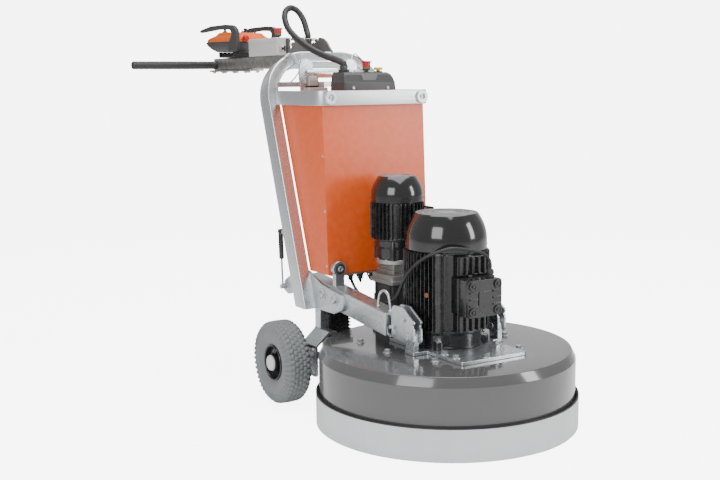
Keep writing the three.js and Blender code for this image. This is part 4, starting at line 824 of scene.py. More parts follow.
def arm(side):
    rear = frame_front(arm_top(arm_front) + 60) + 58
    tube = [(y, arm_top(y) - drop) for y, drop in
            [(arm_front, arm_depth), (rear, arm_depth), (rear, 0), (arm_front, 0)]]
    parts = [slab(tube, side * arm_inner, side * arm_outer, "x")]
    post_y, post_x = axle_y - 94, arm_middle + 8
    ground, crown = arm_top(post_y) - 1, arm_top(post_y) + 66
    arc = np.linspace(-math.pi / 4, 1.25 * math.pi, 25)
    head = np.c_[post_x + 28 * np.cos(arc), crown + 28 * np.sin(arc)]
    outline = np.vstack([[post_x - 20, ground], [post_x + 20, ground], head]) * [side, 1]
    parts.append(slab(outline, post_y - 14, post_y + 8, "y"))
    return parts


def arm_details(side):
    """The seam, the weld round the post's foot and the lifting loop."""
    seam = [(side * (arm_outer - 0.6), y, arm_top(y) - 19) for y in np.linspace(arm_front + 6, axle_y - 60, 12)]
    post_y, post_x = axle_y - 94, side * (arm_middle + 8)
    ground = arm_top(post_y)
    foot = [(post_x - 20, post_y - 15, ground), (post_x + 20, post_y - 15, ground)]
    y, base = arm_front + 52, arm_top(arm_front + 52)
    x = side * arm_middle
    loop = [(x, y - 40, base - 4), (x, y - 34, base + 24), (x, y - 24.5, base + 48), (x, y, base + 60),
            (x, y + 24.5, base + 50), (x, y + 34, base + 28), (x, y + 40, base + 1)]
    return [weld_bead(seam, 1.1), weld_bead(foot), bent_rod(loop, 5),
            turned([(0, base - 6), (9, base - 6), (9, base - 1.2), (6, base + 1.5), (0, base + 1.5)], x, y - 39, 20),
            turned([(0, base), (9, base), (9, base + 2.6), (6, base + 5), (0, base + 5)], x, y + 39.5, 20)]


dark_ring = finish("dark_ring", (0.09, 0.09, 0.092), 0.35, 0.6, bump=0.05)
for side, word in [(-1, "left"), (1, "right")]:
    piece(f"arm_tube_{word}", "chassis", arm(side), zinc_plate, [f"arm_{word}"], bevel=0.0035)
    piece(f"arm_details_{word}", "chassis", arm_details(side), zinc_screw)
    post_at = (side * (arm_middle + 8), axle_y - 108, arm_top(axle_y - 94) + 66)
    piece(f"post_washer_{word}", "chassis", [turned_along(rounded(
        [(0, 0), (18.5, 0), (18.5, 3), (0, 3)], 0.6, False), post_at, (0, -1, 0), 40)], dark_ring)
    piece(f"post_bolt_{word}", "chassis", [turned_along(rounded(
        [(0, 3), (11, 3), (11, 8), (8, 9), (5, 9), (5, 5.5), (0, 5.5)], 0.9, False), post_at, (0, -1, 0), 32)],
        zinc_screw)

# ---- Head forks ----
# Two flame-cut cheeks a side, welded to a bridge on the arm's end, with the pin that the head tilts on. A ring on
# the arm's end pulls the locking pin out.
def fork(side):
    back, low, top = arm_front - 0.3, arm_top(arm_front) - arm_depth, arm_top(arm_front)
    y, z = pivot_y, pivot_z
    cheek = rounded([(back, low), (y - 20, z - 20), (y - 34, z - 8), (y - 34, z + 36), (y - 26, z + 44),
        (y - 36, z + 60),
                     (y + 4, top + 14), (y + 30, top + 32), (back - 24, top + 30), (back, top - 2)], 6)
    parts = []
    for near, far in [(158.5, 166.5), (187.5, 195.5)]:
        parts.append(slab(cheek, side * near, side * far, "x"))
    parts.append(block(side * 158.5, side * 195.5, back - 12, back, low + 6, top - 6))
    return parts


for side, word in [(-1, "left"), (1, "right")]:
    piece(f"fork_cheeks_{word}", "chassis", fork(side), zinc_plate, [f"head_fork_{word}"], bevel=0.0014)
    pin = [turned_along(rounded([(0, 0), (9.8, 0), (9.8, 46), (0, 46)], 1.2, False),
                        (side * 155, pivot_y, pivot_z), (side, 0, 0), 28)]
    pin += hex_bolt((side * 195.5, pivot_y, pivot_z), (side, 0, 0), 20, height=6)
    pin += hex_bolt((side * 195.5, pivot_y + 20, pivot_z + 62), (side, 0, 0), 13, height=5)
    pin += hex_bolt((side * 195.5, arm_front - 32, pivot_z + 30), (side, 0, 0), 13, height=5)
    ring = np.linspace(0, 2 * math.pi, 40, endpoint=False)
    ring_path = np.c_[np.full(40, side * 204.0), arm_front - 20 + 17 * np.cos(ring), 329 + 17 * np.sin(ring)]
    pin.append(swept(circle(0.0016, 10), in_frame(ring_path), closed=True))
    pin.append(turned_along(rounded([(0, 0), (6, 0), (6, 12), (0, 12)], 1, False), (side * 195, arm_front - 20, 345),
                            (side, 0, 0), 20))
    piece(f"fork_pins_{word}", "chassis", pin, zinc_screw)

# ---- Frame hoop ----
# One bent rectangular tube that leans back over the cabinet, with side plates bolted to the arms, a cross bar with
# two lugs and a spacer tube, the hose's adapter and small wire loops. It is welded up and zinc plated.
bright_zinc = finish("bright_zinc", (0.70, 0.715, 0.73), 0.28, 0.9, tint=(0.56, 0.58, 0.60), variation=0.35, scale=40,
                     stretch=(1, 1, 0.3), spread=0.12, bump=0.05, depth=0.0006, wear=(0.85, 0.86, 0.87), worn=0.4)
tube_middle, tube_half, tube_deep = 247.2, 23.5, 38.0
up_slope = np.array([0, math.sin(lean), math.cos(lean)])
in_slope = np.array([0, math.cos(lean), -math.sin(lean)])


def on_frame(x, deep, up):
    """A point by its distance behind the hoop's front face and its distance up the slope, in millimetres."""
    return np.array([x, 510.875, 330.0]) + deep * in_slope + up * up_slope


def hoop_tube():
    """A rounded rectangle swept up, round two quarter turns and down; its feet are cut level with the arms."""
    crown, bend = 955 / math.cos(lean) - 190, 166.5
    turn = np.linspace(math.pi, 0, 33)
    middle = tube_middle - bend
    heights = np.linspace(-30, crown, 24)
    left = np.c_[np.full(24, -tube_middle), heights]
    left_turn = np.c_[-middle + bend * np.cos(turn[:17]), crown + bend * np.sin(turn[:17])]
    right_turn = np.c_[middle + bend * np.cos(turn[16:]), crown + bend * np.sin(turn[16:])]
    line = np.vstack([left, left_turn[1:], right_turn[:-1], np.c_[np.full(24, tube_middle), heights[::-1]]])
    path = np.array([on_frame(x, tube_deep, up) for x, up in line])
    section = rounded([(-tube_half, -tube_deep), (tube_half, -tube_deep), (tube_half, tube_deep),
                       (-tube_half, tube_deep)], 7, steps=5)
    points, faces = swept(section, path, across=(-1, 0, 0))
    below = np.clip(330.0 - points[:, 2], 0, None)
    points += below[:, None] * np.array([0, math.tan(lean), 1.0])
    return in_frame(points), faces


def side_plate(side):
    front = 318.9
    arc = np.linspace(math.pi / 2, 1.3 * math.pi, 24)
    nose = np.c_[front + 26 + 32 * np.cos(arc), arm_top(front) - 38 + 32 * np.sin(arc)]
    outline = np.vstack([[frame_rear(330) - 12, 330], [frame_rear(462) - 12, 462], [frame_front(462) + 8, 462],
                         [axle_y - 30, arm_top(axle_y - 30) - 4], nose, [front + 60, 331]])
    return slab(outline, side * 212.3, side * 224.5, "x")


def lug(side):
    arc = np.linspace(0, math.pi, 21)
    crown = np.c_[101 + 30 * np.cos(arc), 1224 + 30 * np.sin(arc)]
    outline = np.vstack([[77, 1130.5], [125, 1130.5], [131, 1180], crown, [71, 1180]])
    return slab(outline * [side, 1], 775.5, 786, "y")


def frame_weldment():
    parts = [slab([(-225, 1146), (225, 1146), (225, 1166), (-225, 1166)], 785.4, 813, "y")]
    for side in (-1, 1):
        parts += [side_plate(side), lug(side)]
    parts.append(slab([(frame_rear(455) - 6, 455), (frame_rear(455) + 34, 448), (frame_rear(425) + 44, 412),
                       (frame_rear(395) - 6, 390)], -242.5, -234.7, "x"))
    return parts


def frame_fittings():
    """Beads, bolts, the spacer tube, the adapter, the wire loops and the strut's pins."""
    parts = [turned_along(rounded([(0, 0), (17, 0), (17, 202), (0, 202)], 1, False), (-101, 780.5, 1197), (1, 0, 0),
        40)]
    for side in (-1, 1):
        parts.append(weld_bead([(side * 224.4, frame_front(z) + 0.4, z) for z in np.linspace(334, 458, 9)], 3.4))
        parts.append(weld_bead([(side * 218, frame_front(462) + t, 462.5) for t in np.linspace(12, 60, 5)], 2.4))
        for y in (456.9, 371.9):
            parts += hex_bolt((side * 224.4, y, arm_top(y) - 38), (side, 0, 0), 26, height=9)
        loop = [(104, 967, -1), (66, 994, -6), (42, 962, -12), (41, 925, -8), (56, 900, 8), (75, 884, 24)]
        parts.append(bent_rod([on_frame(side * (80.7 + across), deep, up) for across, up, deep in loop], 2.6, 0.002,
            12))
    stud_y = frame_rear(601)
    parts.append(turned_along([(0, 0), (3.9, 0), (3.9, 33), (0, 33)], (-261.7, stud_y - 4, 601), (0, 1, 0), 16))
    parts += hex_bolt((-261.7, stud_y - 1, 601), (0, 1, 0), 13)
    parts.append(turned_along([(0, 0), (5.9, 0), (5.9, 14), (0, 14)], (-255, frame_rear(425) + 24, 425), (1, 0, 0), 16))
    parts.append(turned_along(rounded([(0, 0), (14, 0), (14, 3), (0, 3)], 0.6, False),
                              (-255.2, frame_rear(425) + 24, 425), (1, 0, 0), 24))
    return parts


piece("hoop_tube", "chassis", [hoop_tube()], bright_zinc, ["frame_hoop"], sharp=50)
piece("frame_weldment", "chassis", frame_weldment(), zinc_plate, bevel=0.0018)
piece("frame_fittings", "chassis", frame_fittings(), zinc_screw)
adapter_at = (-30, frame_rear(1285) - 26, 1280)
piece("hose_adapter", "chassis", [turned_along(rounded(
    [(0, 0), (20, 0), (20, 16), (12, 18), (12, 30), (15.5, 30), (15.5, 46), (13, 54), (0, 54)], 1.2, False), adapter_at,
    (0, 0, 1), 36)], gland_plastic)

# ---- Electrical cabinet ----
# A folded sheet-steel tub in orange powder coat with a front cover, a screwed rear panel with louvres, and the
# wires' glands in a plate under its front edge. The inverter stands inside.
orange = (0.80, 0.10, 0.014)
orange_paint = finish("orange_paint", orange, 0.36, tint=(0.72, 0.135, 0.024), variation=0.22, scale=900, spread=0.06,
                      bump=0.10, depth=0.00015, wear=(0.9, 0.3, 0.1), worn=0.25, coat=0.15, coat_roughness=0.2)
cabinet_half, cabinet_base, cabinet_top = 221.7, 466.0, 1130.0
cover_step = 8.0


def cabinet_front(z):
    return 419.875 + 0.048 * (z - 466)


def cabinet_rear(z):
    return frame_front(z) - 6


def cabinet():
    """The tub's side view given its width, a wider front cover over its first 16 mm and a folded top lip."""
    tub = [(cabinet_front(z) + cover_step, z) for z in (cabinet_base, cabinet_top)]
    tub += [(cabinet_rear(z), z) for z in (cabinet_top, cabinet_base)]
    cover = [(cabinet_front(z) + deep, z) for deep, z in
             [(0, cabinet_base), (0, cabinet_top - 1), (17, cabinet_top - 1), (17, cabinet_base)]]
    return [slab(tub, -cabinet_half + 1.2, cabinet_half - 1.2, "x"), slab(cover, -cabinet_half, cabinet_half, "x")]


def rear_panel():
    """A flat sheet with two banks of pressed louvres, each a slanted wedge."""
    def behind(z, extra=0.0):
        return cabinet_rear(z) + 0.3 + extra
    low, high = cabinet_base, cabinet_top
    parts = [slab([(behind(low), low), (behind(low, 3), low), (behind(high, 3), high), (behind(high), high)],
                  -cabinet_half, cabinet_half, "x")]
    for first in (560.0, 900.0):
        for z in first + 22 * np.arange(7):
            wedge = [(behind(z, 2), z), (behind(z, 9), z + 2), (behind(z + 14, 2.5), z + 14),
                (behind(z + 14, 2), z + 14)]
            for x0, x1 in [(-150, -10), (10, 150)]:
                parts.append(slab(wedge, x0, x1, "x"))
    return parts


piece("cabinet_tub", "chassis", cabinet(), orange_paint, ["cabinet_shell"], bevel=0.0022)
piece("cabinet_back", "chassis", rear_panel(), orange_paint, ["cabinet_rear_panel"], bevel=0.0008)
cabinet_screws = []
for z in (500, 700, 900, 1095):
    for side in (-1, 1):
        cabinet_screws.append(turned_along(rounded([(0, 0), (7, 0), (7, 1.5), (4, 4), (0, 4)], 1, False),
                                           (side * 205, cabinet_rear(z) + 3.2, z), (0, 1, -0.33), 20))
        cabinet_screws.append(turned_along(rounded([(0, 0), (5, 0), (5, 0.8), (3, 2), (0, 2)], 0.6, False),
                                           (side * cabinet_half, cabinet_front(z) + 9, z), (side, 0, 0), 18))
piece("cabinet_screws", "chassis", cabinet_screws, zinc_screw)
gland_plate = [block(-200, 200, cabinet_front(466) + 4, cabinet_front(466) + 70, 459, 465.8)]
piece("cabinet_gland_plate", "chassis", gland_plate, bright_zinc, bevel=0.001)
under_glands = []
for x in (-150, -110, -66, -20, 30, 80, 130):
    under_glands.append(lifted(hexagon(22, 0.2 * x), [(0, 1), (8, 1), (9, 0.92)], (x, 448, 459), (0, 0, -1)))
    under_glands.append(turned_along(rounded([(0, 8), (9, 8), (9, 18), (6.5, 24), (0, 24)], 1, False), (x, 448, 459),
                                     (0, 0, -1), 24))
piece("under_glands", "chassis", under_glands, gland_plastic)
wire_rubber = finish("wire_rubber", (0.02, 0.02, 0.022), 0.45, bump=0.05)
wire_blue = finish("wire_blue", (0.09, 0.085, 0.25), 0.45, bump=0.05)
looms = []
for x, drop in [(-150, 24), (-66, 34), (30, 22), (80, 30)]:
    looms.append(bent_rod([(x, 448, 440), (x, 449, 434), (x + 6, 458, 436 - 0.4 * drop),
        (x + 12, 480, 446 - 0.4 * drop),
                           (x + 14, 510, 452), (x + 14, 530, 464)], 4.2))
piece("cabinet_looms", "chassis", looms, wire_rubber)
piece("cabinet_signal_wire", "chassis", [bent_rod([(-20, 448, 440), (-20, 449, 433), (-14, 460, 424), (-6, 486, 430),
                                                   (0, 512, 446), (2, 530, 464)], 3)], wire_blue)

# ---- Guard band ----
# A bent strip of brushed steel round the cabinet's top edge, held off it on spacers behind two round discs with
# a recessed screw each.
brushed = finish("brushed_steel", (0.66, 0.67, 0.685), 0.32, 0.85, tint=(0.5, 0.51, 0.53), variation=0.4, scale=140,
                 stretch=(0.12, 0.12, 2.5), spread=0.16, bump=0.12, depth=0.0003, wear=(0.86, 0.86, 0.87), worn=0.4)
band_base, band_top, band_side, band_thick, band_bend = 1080.0, 1133.0, 244.7, 8.0, 50.0
band_front = cabinet_front(1106.5) - 21


def guard_strip():
    """A thin rounded strip carried round the two front corners."""
    half, front, bend = band_side - band_thick / 2, band_front + band_thick / 2, band_bend - band_thick / 2
    arc = np.linspace(0, math.pi / 2, 15)
    left = np.c_[-half + bend - bend * np.cos(arc), front + bend - bend * np.sin(arc)]
    right = np.c_[half - bend + bend * np.sin(arc), front + bend - bend * np.cos(arc)]
    plan_line = np.vstack([[-half, 761.5], [-half, 600], left, [0, front], right, [half, 600], [half, 761.5]])
    section = rounded([(-4, -26.5), (4, -26.5), (4, 26.5), (-4, 26.5)], 1.6)
    path = np.c_[plan_line, np.full(len(plan_line), (band_base + band_top) / 2)]
    points, faces = swept(section, path, across=(-1, 0, 0))
    return in_frame(points), faces


piece("guard_strip", "chassis", [guard_strip()], brushed, ["guard_band"], sharp=50)
discs, disc_screws = [], []
for side in (-1, 1):
    foot = np.array([side * 199.7, band_front + 0.3, 1106.5])
    discs.append(turned_along(rounded([(0, 0), (25, 0), (25, 6.5), (23.5, 8), (11, 8), (10, 4.5), (0, 4.5)], 0.8,
        False),
                              foot, (0, -1, 0), 56))
    discs.append(turned_along([(0, 0), (12, 0), (12, 14), (0, 14)], foot + [0, 7, 0], (0, 1, 0), 32))
    disc_screws.append(turned_along(rounded([(0, 3), (7.5, 3), (7.5, 6.2), (3.8, 7.2), (3.4, 4.6), (0, 4.6)], 0.5,
        False),
                                    foot, (0, -1, 0), 32))
piece("guard_discs", "chassis", discs, brushed)
piece("guard_disc_screws", "chassis", disc_screws, zinc_screw)

# ---- Black cover on the cabinet ----
# A moulded housing with a crease across its front and a finger tab, on two screws. It carries the hose's gland,
# a white lamp, a stop button and a yellow reset button.
satin_black = finish("satin_black", (0.055, 0.055, 0.057), 0.42, tint=(0.035, 0.035, 0.036), variation=0.4, scale=700,
                     spread=0.08, bump=0.25, depth=0.0002)
tab_black = finish("tab_black", (0.13, 0.13, 0.132), 0.4, bump=0.1)
lamp_white = finish("lamp_white", (0.75, 0.75, 0.74), 0.25, bump=0.02, coat=0.5)
button_red = finish("button_red", (0.55, 0.012, 0.02), 0.28, tint=(0.4, 0.01, 0.015), variation=0.3, bump=0.03,
    coat=0.4)
ring_green = finish("ring_green", (0.03, 0.22, 0.05), 0.35, bump=0.03)
cap_yellow = finish("cap_yellow", (0.85, 0.55, 0.02), 0.32, tint=(0.7, 0.42, 0.01), bump=0.03, coat=0.3)
roof, row_y = 1199.3, 519.75


def loft(levels, round_at=8.0, steps=4, x=0.0, y=0.0):
    """Rounded rectangles stacked up: each level is (height, x low, x high, y low, y high)."""
    rings = []
    for z, x0, x1, y0, y1 in levels:
        ring = rounded([(x + x0, y + y0), (x + x1, y + y0), (x + x1, y + y1), (x + x0, y + y1)], round_at, steps=steps)
        rings.append(np.c_[ring, np.full(len(ring), z)])
    count = len(rings[0])
    return in_frame(np.vstack(rings)), grid_faces(len(rings), count) + caps(len(rings), count)


piece("cover_housing", "chassis", [loft([
    (1130.4, -113, 113, 469.8, 574.7), (1132, -113, 113, 469.8, 574.7), (1162, -112, 111, 472.2, 574.2),
    (1164, -111, 110, 473.4, 574), (1180, -109, 105, 478, 573.5), (1190, -107, 99, 482.5, 573),
    (1196.5, -105, 92, 489, 572), (1199, -102, 88, 495, 570), (roof, -99, 85, 499, 567)], 6, 5)], satin_black,
    ["top_cover"], sharp=20)
piece("cover_tab", "chassis", [slab(rounded([(-30, 1168), (26, 1168), (34, 1190), (-38, 1190)], 5), 475.2, 489, "y")],
      tab_black, bevel=0.002)
piece("cover_screws", "chassis", [turned_along(rounded([(0, -2), (6.5, -2), (6.5, 1.5), (3, 3), (2.4, 1.6), (0, 1.6)],
      0.5, False), (x, 471.4, 1141), (0, -1, 0.06), 24) for x in (-73, 77)], zinc_screw)
piece("cover_gland", "chassis", [
    lifted(hexagon(36, 0.2), [(-1, 1), (9, 1), (10, 0.94)], (-86, row_y, roof), (0, 0, 1)),
    turned([(0, roof + 9), (14, roof + 9), (14, roof + 14), (0, roof + 14)], -86, row_y, 32),
    lifted(hexagon(29, 0.6), [(13, 1), (22, 1), (24, 0.93)], (-86, row_y, roof), (0, 0, 1))], gland_plastic)
piece("cover_lamp", "chassis", [turned(rounded(
    [(0, roof - 1), (13, roof - 1), (13, roof + 3), (11, roof + 9), (0, roof + 10.5)], 3, closed=False), -31, row_y,
        40)],
    lamp_white)


def stop_button(name, body, node, x, y, z):
    """A flared red head turned on the button's axis, over a green ring and a black neck that dips in its collar."""
    piece(name, body, [turned(rounded([
        (0, z + 16), (13, z + 16), (14.6, z + 17), (15.6, z + 33), (17.5, z + 37), (20.8, z + 39), (20.8, z + 40.6),
        (19, z + 41), (0, z + 40)], 1.0, closed=False), x, y, 48)], button_red, [node])
    piece(name + "_ring", body, [turned(rounded(
        [(0, z + 11.6), (14, z + 11.6), (14.2, z + 16.5), (0, z + 16.5)], 0.5, closed=False), x, y, 48)], ring_green)
    piece(name + "_neck", body, [turned([
        (0, z - 8), (7.8, z - 8), (7.8, z + 6), (13.6, z + 6), (13.6, z + 12), (0, z + 12)], x, y, 40)],
        gland_plastic)


def button_collar(name, body, x, y, z, radius, height):
    piece(name, body, [turned(rounded([(0, z - 0.5), (radius, z - 0.5), (radius, z + height - 1), (radius - 1.5,
          z + height), (0, z + height)], 0.6, closed=False), x, y, 40)], gland_plastic)


button_collar("cabinet_stop_collar", "chassis", 12, row_y, roof, 14, 1.8)
stop_button("cabinet_stop", "cabinet_stop", "cabinet_stop_button", 12, row_y, roof)
button_collar("reset_collar", "chassis", 65, row_y, roof, 16, 4)
piece("reset_cap", "reset", [turned(rounded([(0, roof - 8), (7.8, roof - 8), (7.8, roof + 8), (17, roof + 8),
      (17, roof + 16), (15, roof + 18), (0, roof + 18)], 1.2, closed=False), 65, row_y, 48)], cap_yellow,
      ["reset_button"])

# ---- Power connector ----
# A cast hood on a socket base, held by a sprung steel latch that swings over it.
hood_grey = finish("hood_grey", (0.40, 0.39, 0.365), 0.45, 0.2, tint=(0.3, 0.29, 0.27), variation=0.4, scale=200,
    bump=0.2)
latch_steel = finish("latch_steel", (0.62, 0.62, 0.62), 0.26, 0.9, bump=0.05)
plug_x, plug_y = -139.0, 669.75
piece("connector_hood", "chassis", [
    loft([(1130.4, -25, 61, -22, 22), (1143, -24, 60, -21, 21), (1144.3, -23, 58, -20, 20)], 4, x=plug_x, y=plug_y),
    loft([(1151, -21, 21, -20, 20), (1170, -21, 21, -20, 20), (1182, -19, 18, -18, 18), (1187, -13, 12, -14, 14)], 5,
         x=plug_x, y=plug_y),
    loft([(1143, 26, 50, -12, 12), (1160, 26, 50, -12, 12), (1166, 29, 47, -9, 9)], 3, x=plug_x, y=plug_y)], hood_grey,
    ["power_connector"], bevel=0.001)
piece("connector_seal", "chassis", [
    loft([(1144, -20, 20, -19, 19), (1151.5, -20, 20, -19, 19)], 4, x=plug_x, y=plug_y),
    turned_along([(0, 0), (3.9, 0), (3.9, 56), (0, 56)], (plug_x - 28, plug_y, 1156), (1, 0, 0), 18)], edge_rubber)


def latch_wire():
    """Two side arms with eyes round their pivot, joined by a folded bridge above the hood."""
    parts = []
    for x0 in (plug_x - 27, plug_x + 24):
        arc = np.linspace(math.pi, 2 * math.pi, 15)
        eye = np.c_[plug_y + 7 * np.cos(arc), 1156 + 7 * np.sin(arc)]
        parts.append(slab(np.vstack([eye, [plug_y + 6, 1199], [plug_y - 6, 1199]]), x0, x0 + 3, "x"))
    parts.append(block(plug_x - 27, plug_x + 27, plug_y - 7, plug_y + 7, 1196, 1199, 2))
    parts.append(block(plug_x - 20, plug_x + 20, plug_y + 4, plug_y + 7, 1190, 1198))
    return parts


piece("connector_latch_wire", "latch", latch_wire(), latch_steel, ["connector_latch"], bevel=0.0007)

# ---- Sector plates and lock bar ----
# Two flame-cut plates welded on the hoop, each with notches round the handle's pivot. A sprung cross bar on the
# handle drops into a pair of notches and is pulled out to tilt the handle.
sector_grey = finish("sector_grey", (0.17, 0.166, 0.16), 0.45, 0.25, variation=0.4, scale=200, bump=0.15,
                     wear=(0.3, 0.3, 0.3), worn=0.5)
handle_y, handle_z = 924.845, 1250.0
notch_angles = np.radians([40, 60, 80])


def sector(side):
    """A round crown whose radius falls by the notches' depth over each notch's width, on a foot behind the hoop."""
    angles = np.linspace(math.radians(18), math.radians(144), 190)
    away = np.min(np.abs(angles[:, None] - notch_angles), axis=1)
    radius = 92 - 12 * (away < math.radians(4.6))
    crown = np.c_[handle_y + radius * np.cos(angles), handle_z + radius * np.sin(angles)]
    outline = np.vstack([[handle_y - 26, handle_z - 24], [handle_y + 26, handle_z - 24], crown,
                         [frame_front(1285) - 2, 1286], [frame_front(1285) - 2, 1266]])
    return slab(outline, side * 44, side * 52, "x")


for side, word in [(-1, "left"), (1, "right")]:
    piece(f"sector_plate_{word}", "chassis", [sector(side)], sector_grey, [f"handle_sector_{word}"],
          bevel=0.001)
lock_way = np.array([0, math.cos(math.radians(60)), math.sin(math.radians(60))])
lock_at = np.array([0, handle_y, handle_z])
piece("lock_cross_bar", "handle_lock", [
    turned_along(rounded([(0, 0), (6, 0), (6, 112), (0, 112)], 1.2, False), lock_at + 100 * lock_way - [56, 0, 0],
                 (1, 0, 0), 24),
    turned_along(rounded([(0, 57), (4.8, 57), (4.8, 92), (8.5, 94), (8.5, 105), (6, 107), (0, 107)], 0.8, False),
        lock_at,
                 lock_way, 24)], zinc_screw, ["handle_lock_bar"])

# ---- Handle boom, cross bar and grips ----
# A brushed box tube that turns on a pin between the sector plates, a plate bolted under its rear end, and a round
# bar through it with moulded grips.
boom_steel = finish("boom_steel", (0.33, 0.32, 0.30), 0.32, 0.85, tint=(0.26, 0.25, 0.235), variation=0.35, scale=130,
                    stretch=(3, 0.1, 3), spread=0.1, bump=0.06, depth=0.0003, wear=(0.55, 0.54, 0.52), worn=0.5)
grip_rubber = finish("grip_rubber", (0.028, 0.029, 0.031), 0.55, tint=(0.045, 0.046, 0.048), variation=0.4, scale=500,
                     bump=0.3, depth=0.0003)
boom_rear, boom_roof, boom_floor, bar_y = 1786.8, 1276.5, 1223.5, 1763.8


def boom():
    tube = rounded([(-30, boom_floor), (30, boom_floor), (30, boom_roof), (-30, boom_roof)], 5)
    front = slab(tube, handle_y + 12, handle_y + 20, "y")
    plate = rounded([(-36, 1400.8), (36, 1400.8), (36, 1832.8), (-36, 1832.8)], 10)
    guide = turned_along(rounded([(0, 20), (12, 20), (12, 72), (6, 72), (6, 60), (0, 60)], 1, False), lock_at, lock_way,
                         32)
    boss = turned_along(rounded([(0, 0), (22, 0), (22, 80), (0, 80)], 1.5, False), (-40, handle_y, handle_z), (1, 0, 0),
                        48)
    return [box_tube(tube, handle_y + 12, boom_rear, 4, "y"), front, slab(plate, 1215.6, 1223.4), guide, boss]


piece("boom_tube", "handle", boom(), boom_steel, ["handle_boom"], sharp=40)
boom_bolts = [turned_along(rounded([(0, 0), (9.8, 0), (9.8, 112), (0, 112)], 1.2, False),
                           (-56, handle_y, handle_z), (1, 0, 0), 32)]
for y in (1440, 1560, 1680, 1800):
    for x in (-22, 22):
        boom_bolts += hex_bolt((x, y, 1215.6), (0, 0, -1), 13, height=6)
piece("boom_bolts", "handle", boom_bolts, zinc_screw)
piece("cross_bar", "handle", [turned_along(rounded([(0, 0), (14, 0), (14, 866), (0, 866)], 1, False),
      (-433, bar_y, 1246), (1, 0, 0), 40)], boom_steel, ["handle_bar"])


def grip(side):
    """A tube whose radius is a soft swell with fine rings, closed by a rounded end and a flared collar."""
    run = np.linspace(0, 403, 136)
    radius = 17.6 + 0.5 * np.sin(math.pi * run / 403) + 0.25 * np.cos(2 * math.pi * run / 9)
    radius += 0.55 * np.exp(-((run - 4) / 5) ** 2)
    end = np.linspace(0, math.pi / 2, 8)
    skin = np.vstack([np.c_[radius, run], np.c_[8 + 9.5 * np.cos(end), 403 + 5.6 * np.sin(end)], [0, 408.6]])
    profile = np.vstack([[0, 0], [radius[0] - 1, 0], skin])
    return turned_along(profile, (side * 32, bar_y, 1246), (side, 0, 0), 40)


for side, word in [(-1, "left"), (1, "right")]:
    piece(f"moulded_grip_{word}", "handle", [grip(side)], grip_rubber, [f"grip_{word}"])

# ---- Control box ----
# A light grey moulded case on the boom with a screwed lid. It has a stop button on top and, on its front, a key
# switch beside a black socket with a bright strip.
case_grey = finish("case_grey", (0.60, 0.59, 0.565), 0.42, tint=(0.5, 0.49, 0.47), variation=0.3, scale=500, bump=0.2,
                   depth=0.0002)
box_start, box_end, case_floor, case_roof = 1144.8, 1414.8, 1276.8, 1350.8
piece("control_case", "handle", [
    loft([(case_floor, -33, 33, box_start + 3, box_end - 2), (case_floor + 3, -34, 34, box_start + 1, box_end - 1),
          (case_roof - 20, -34.4, 34.4, box_start + 0.6, box_end - 0.6)], 8),
    loft([(case_roof - 19, -35, 35, box_start, box_end), (case_roof - 3, -35, 35, box_start, box_end),
          (case_roof, -32, 32, box_start + 3, box_end - 3)], 8),
    loft([(case_roof - 21, -33, 33, box_start + 2, box_end - 2), (case_roof - 18, -33, 33, box_start + 2, box_end - 2)],
         7)], case_grey, ["control_box"], sharp=30)
piece("control_case_screws", "handle", [turned(rounded([(0, case_roof - 1), (5, case_roof - 1), (5, case_roof + 0.4),
      (3, case_roof + 1.2), (0, case_roof + 1.2)], 0.4, closed=False), x, y, 20)
      for x in (-24, 24) for y in (box_start + 14, box_end - 14)], zinc_screw)
button_collar("handle_stop_collar", "handle", 0, 1194.8, case_roof, 14, 1.8)
stop_button("handle_stop", "handle_stop", "handle_stop_button", 0, 1194.8, case_roof)
key_x, key_z = -8.0, 1304.8
piece("key_lock", "handle", [turned_along(rounded([(5.4, 0), (12, 0), (12, 6), (10, 8), (5.4, 8)], 0.8, True),
      (key_x, box_start + 0.6, key_z), (0, -1, 0), 36, True)], latch_steel)
piece("case_socket", "handle", [block(10, 24, box_start - 7, box_start + 3, 1286, 1346, 3)], gland_plastic,
      bevel=0.001)
piece("case_strip", "handle", [block(25.5, 30.5, box_start - 5, box_start + 3, 1284, 1345, 1)], latch_steel,
      bevel=0.0008)
bow = rounded([(key_x - 2, key_z - 11), (key_x + 2, key_z - 11), (key_x + 2, key_z + 11), (key_x - 2, key_z + 11)], 1.5)
piece("key_bow", "key", [slab(bow, box_start - 26, box_start - 13, "y"),
      turned_along(rounded([(0, 0), (4.8, 0), (4.8, 19), (0, 19)], 0.8, False), (key_x, box_start - 14, key_z),
          (0, 1, 0),
                   24)], gland_plastic, ["key_switch"], bevel=0.0008)

# ---- Remote control in its cradle ----
# A two-part moulded handset, dark grey below and orange above, with a hoop rail at each side, two joysticks under
# rubber boots, small switches and a stop button. It lifts out of a clip on the boom, and sits turned in it.
remote_dark = finish("remote_dark", (0.05, 0.05, 0.052), 0.42, tint=(0.035, 0.035, 0.036), variation=0.35, scale=600,
                     bump=0.25, depth=0.0002)
remote_orange = finish("remote_orange", (0.86, 0.155, 0.015), 0.33, tint=(0.74, 0.11, 0.01), variation=0.2, scale=600,
                       bump=0.12, depth=0.0002, coat=0.2)
pale_plate = finish("pale_plate", (0.5, 0.5, 0.5), 0.35, 0.3, bump=0.05)
remote_base, remote_seam, remote_roof = 1301.1, 1345.1, 1387.1
remote_turn = math.radians(17)


def on_remote(surface):
    """A surface worked out square to the boom, turned about the upright through the cradle's middle."""
    points, faces = surface
    flat = np.array(points) - head_axis
    turn = np.array([[math.cos(remote_turn), math.sin(remote_turn), 0],
        [-math.sin(remote_turn), math.cos(remote_turn), 0],
                     [0, 0, 1]])
    return head_axis + np.array([0.006, 1.5898, 0]) + flat @ turn, faces


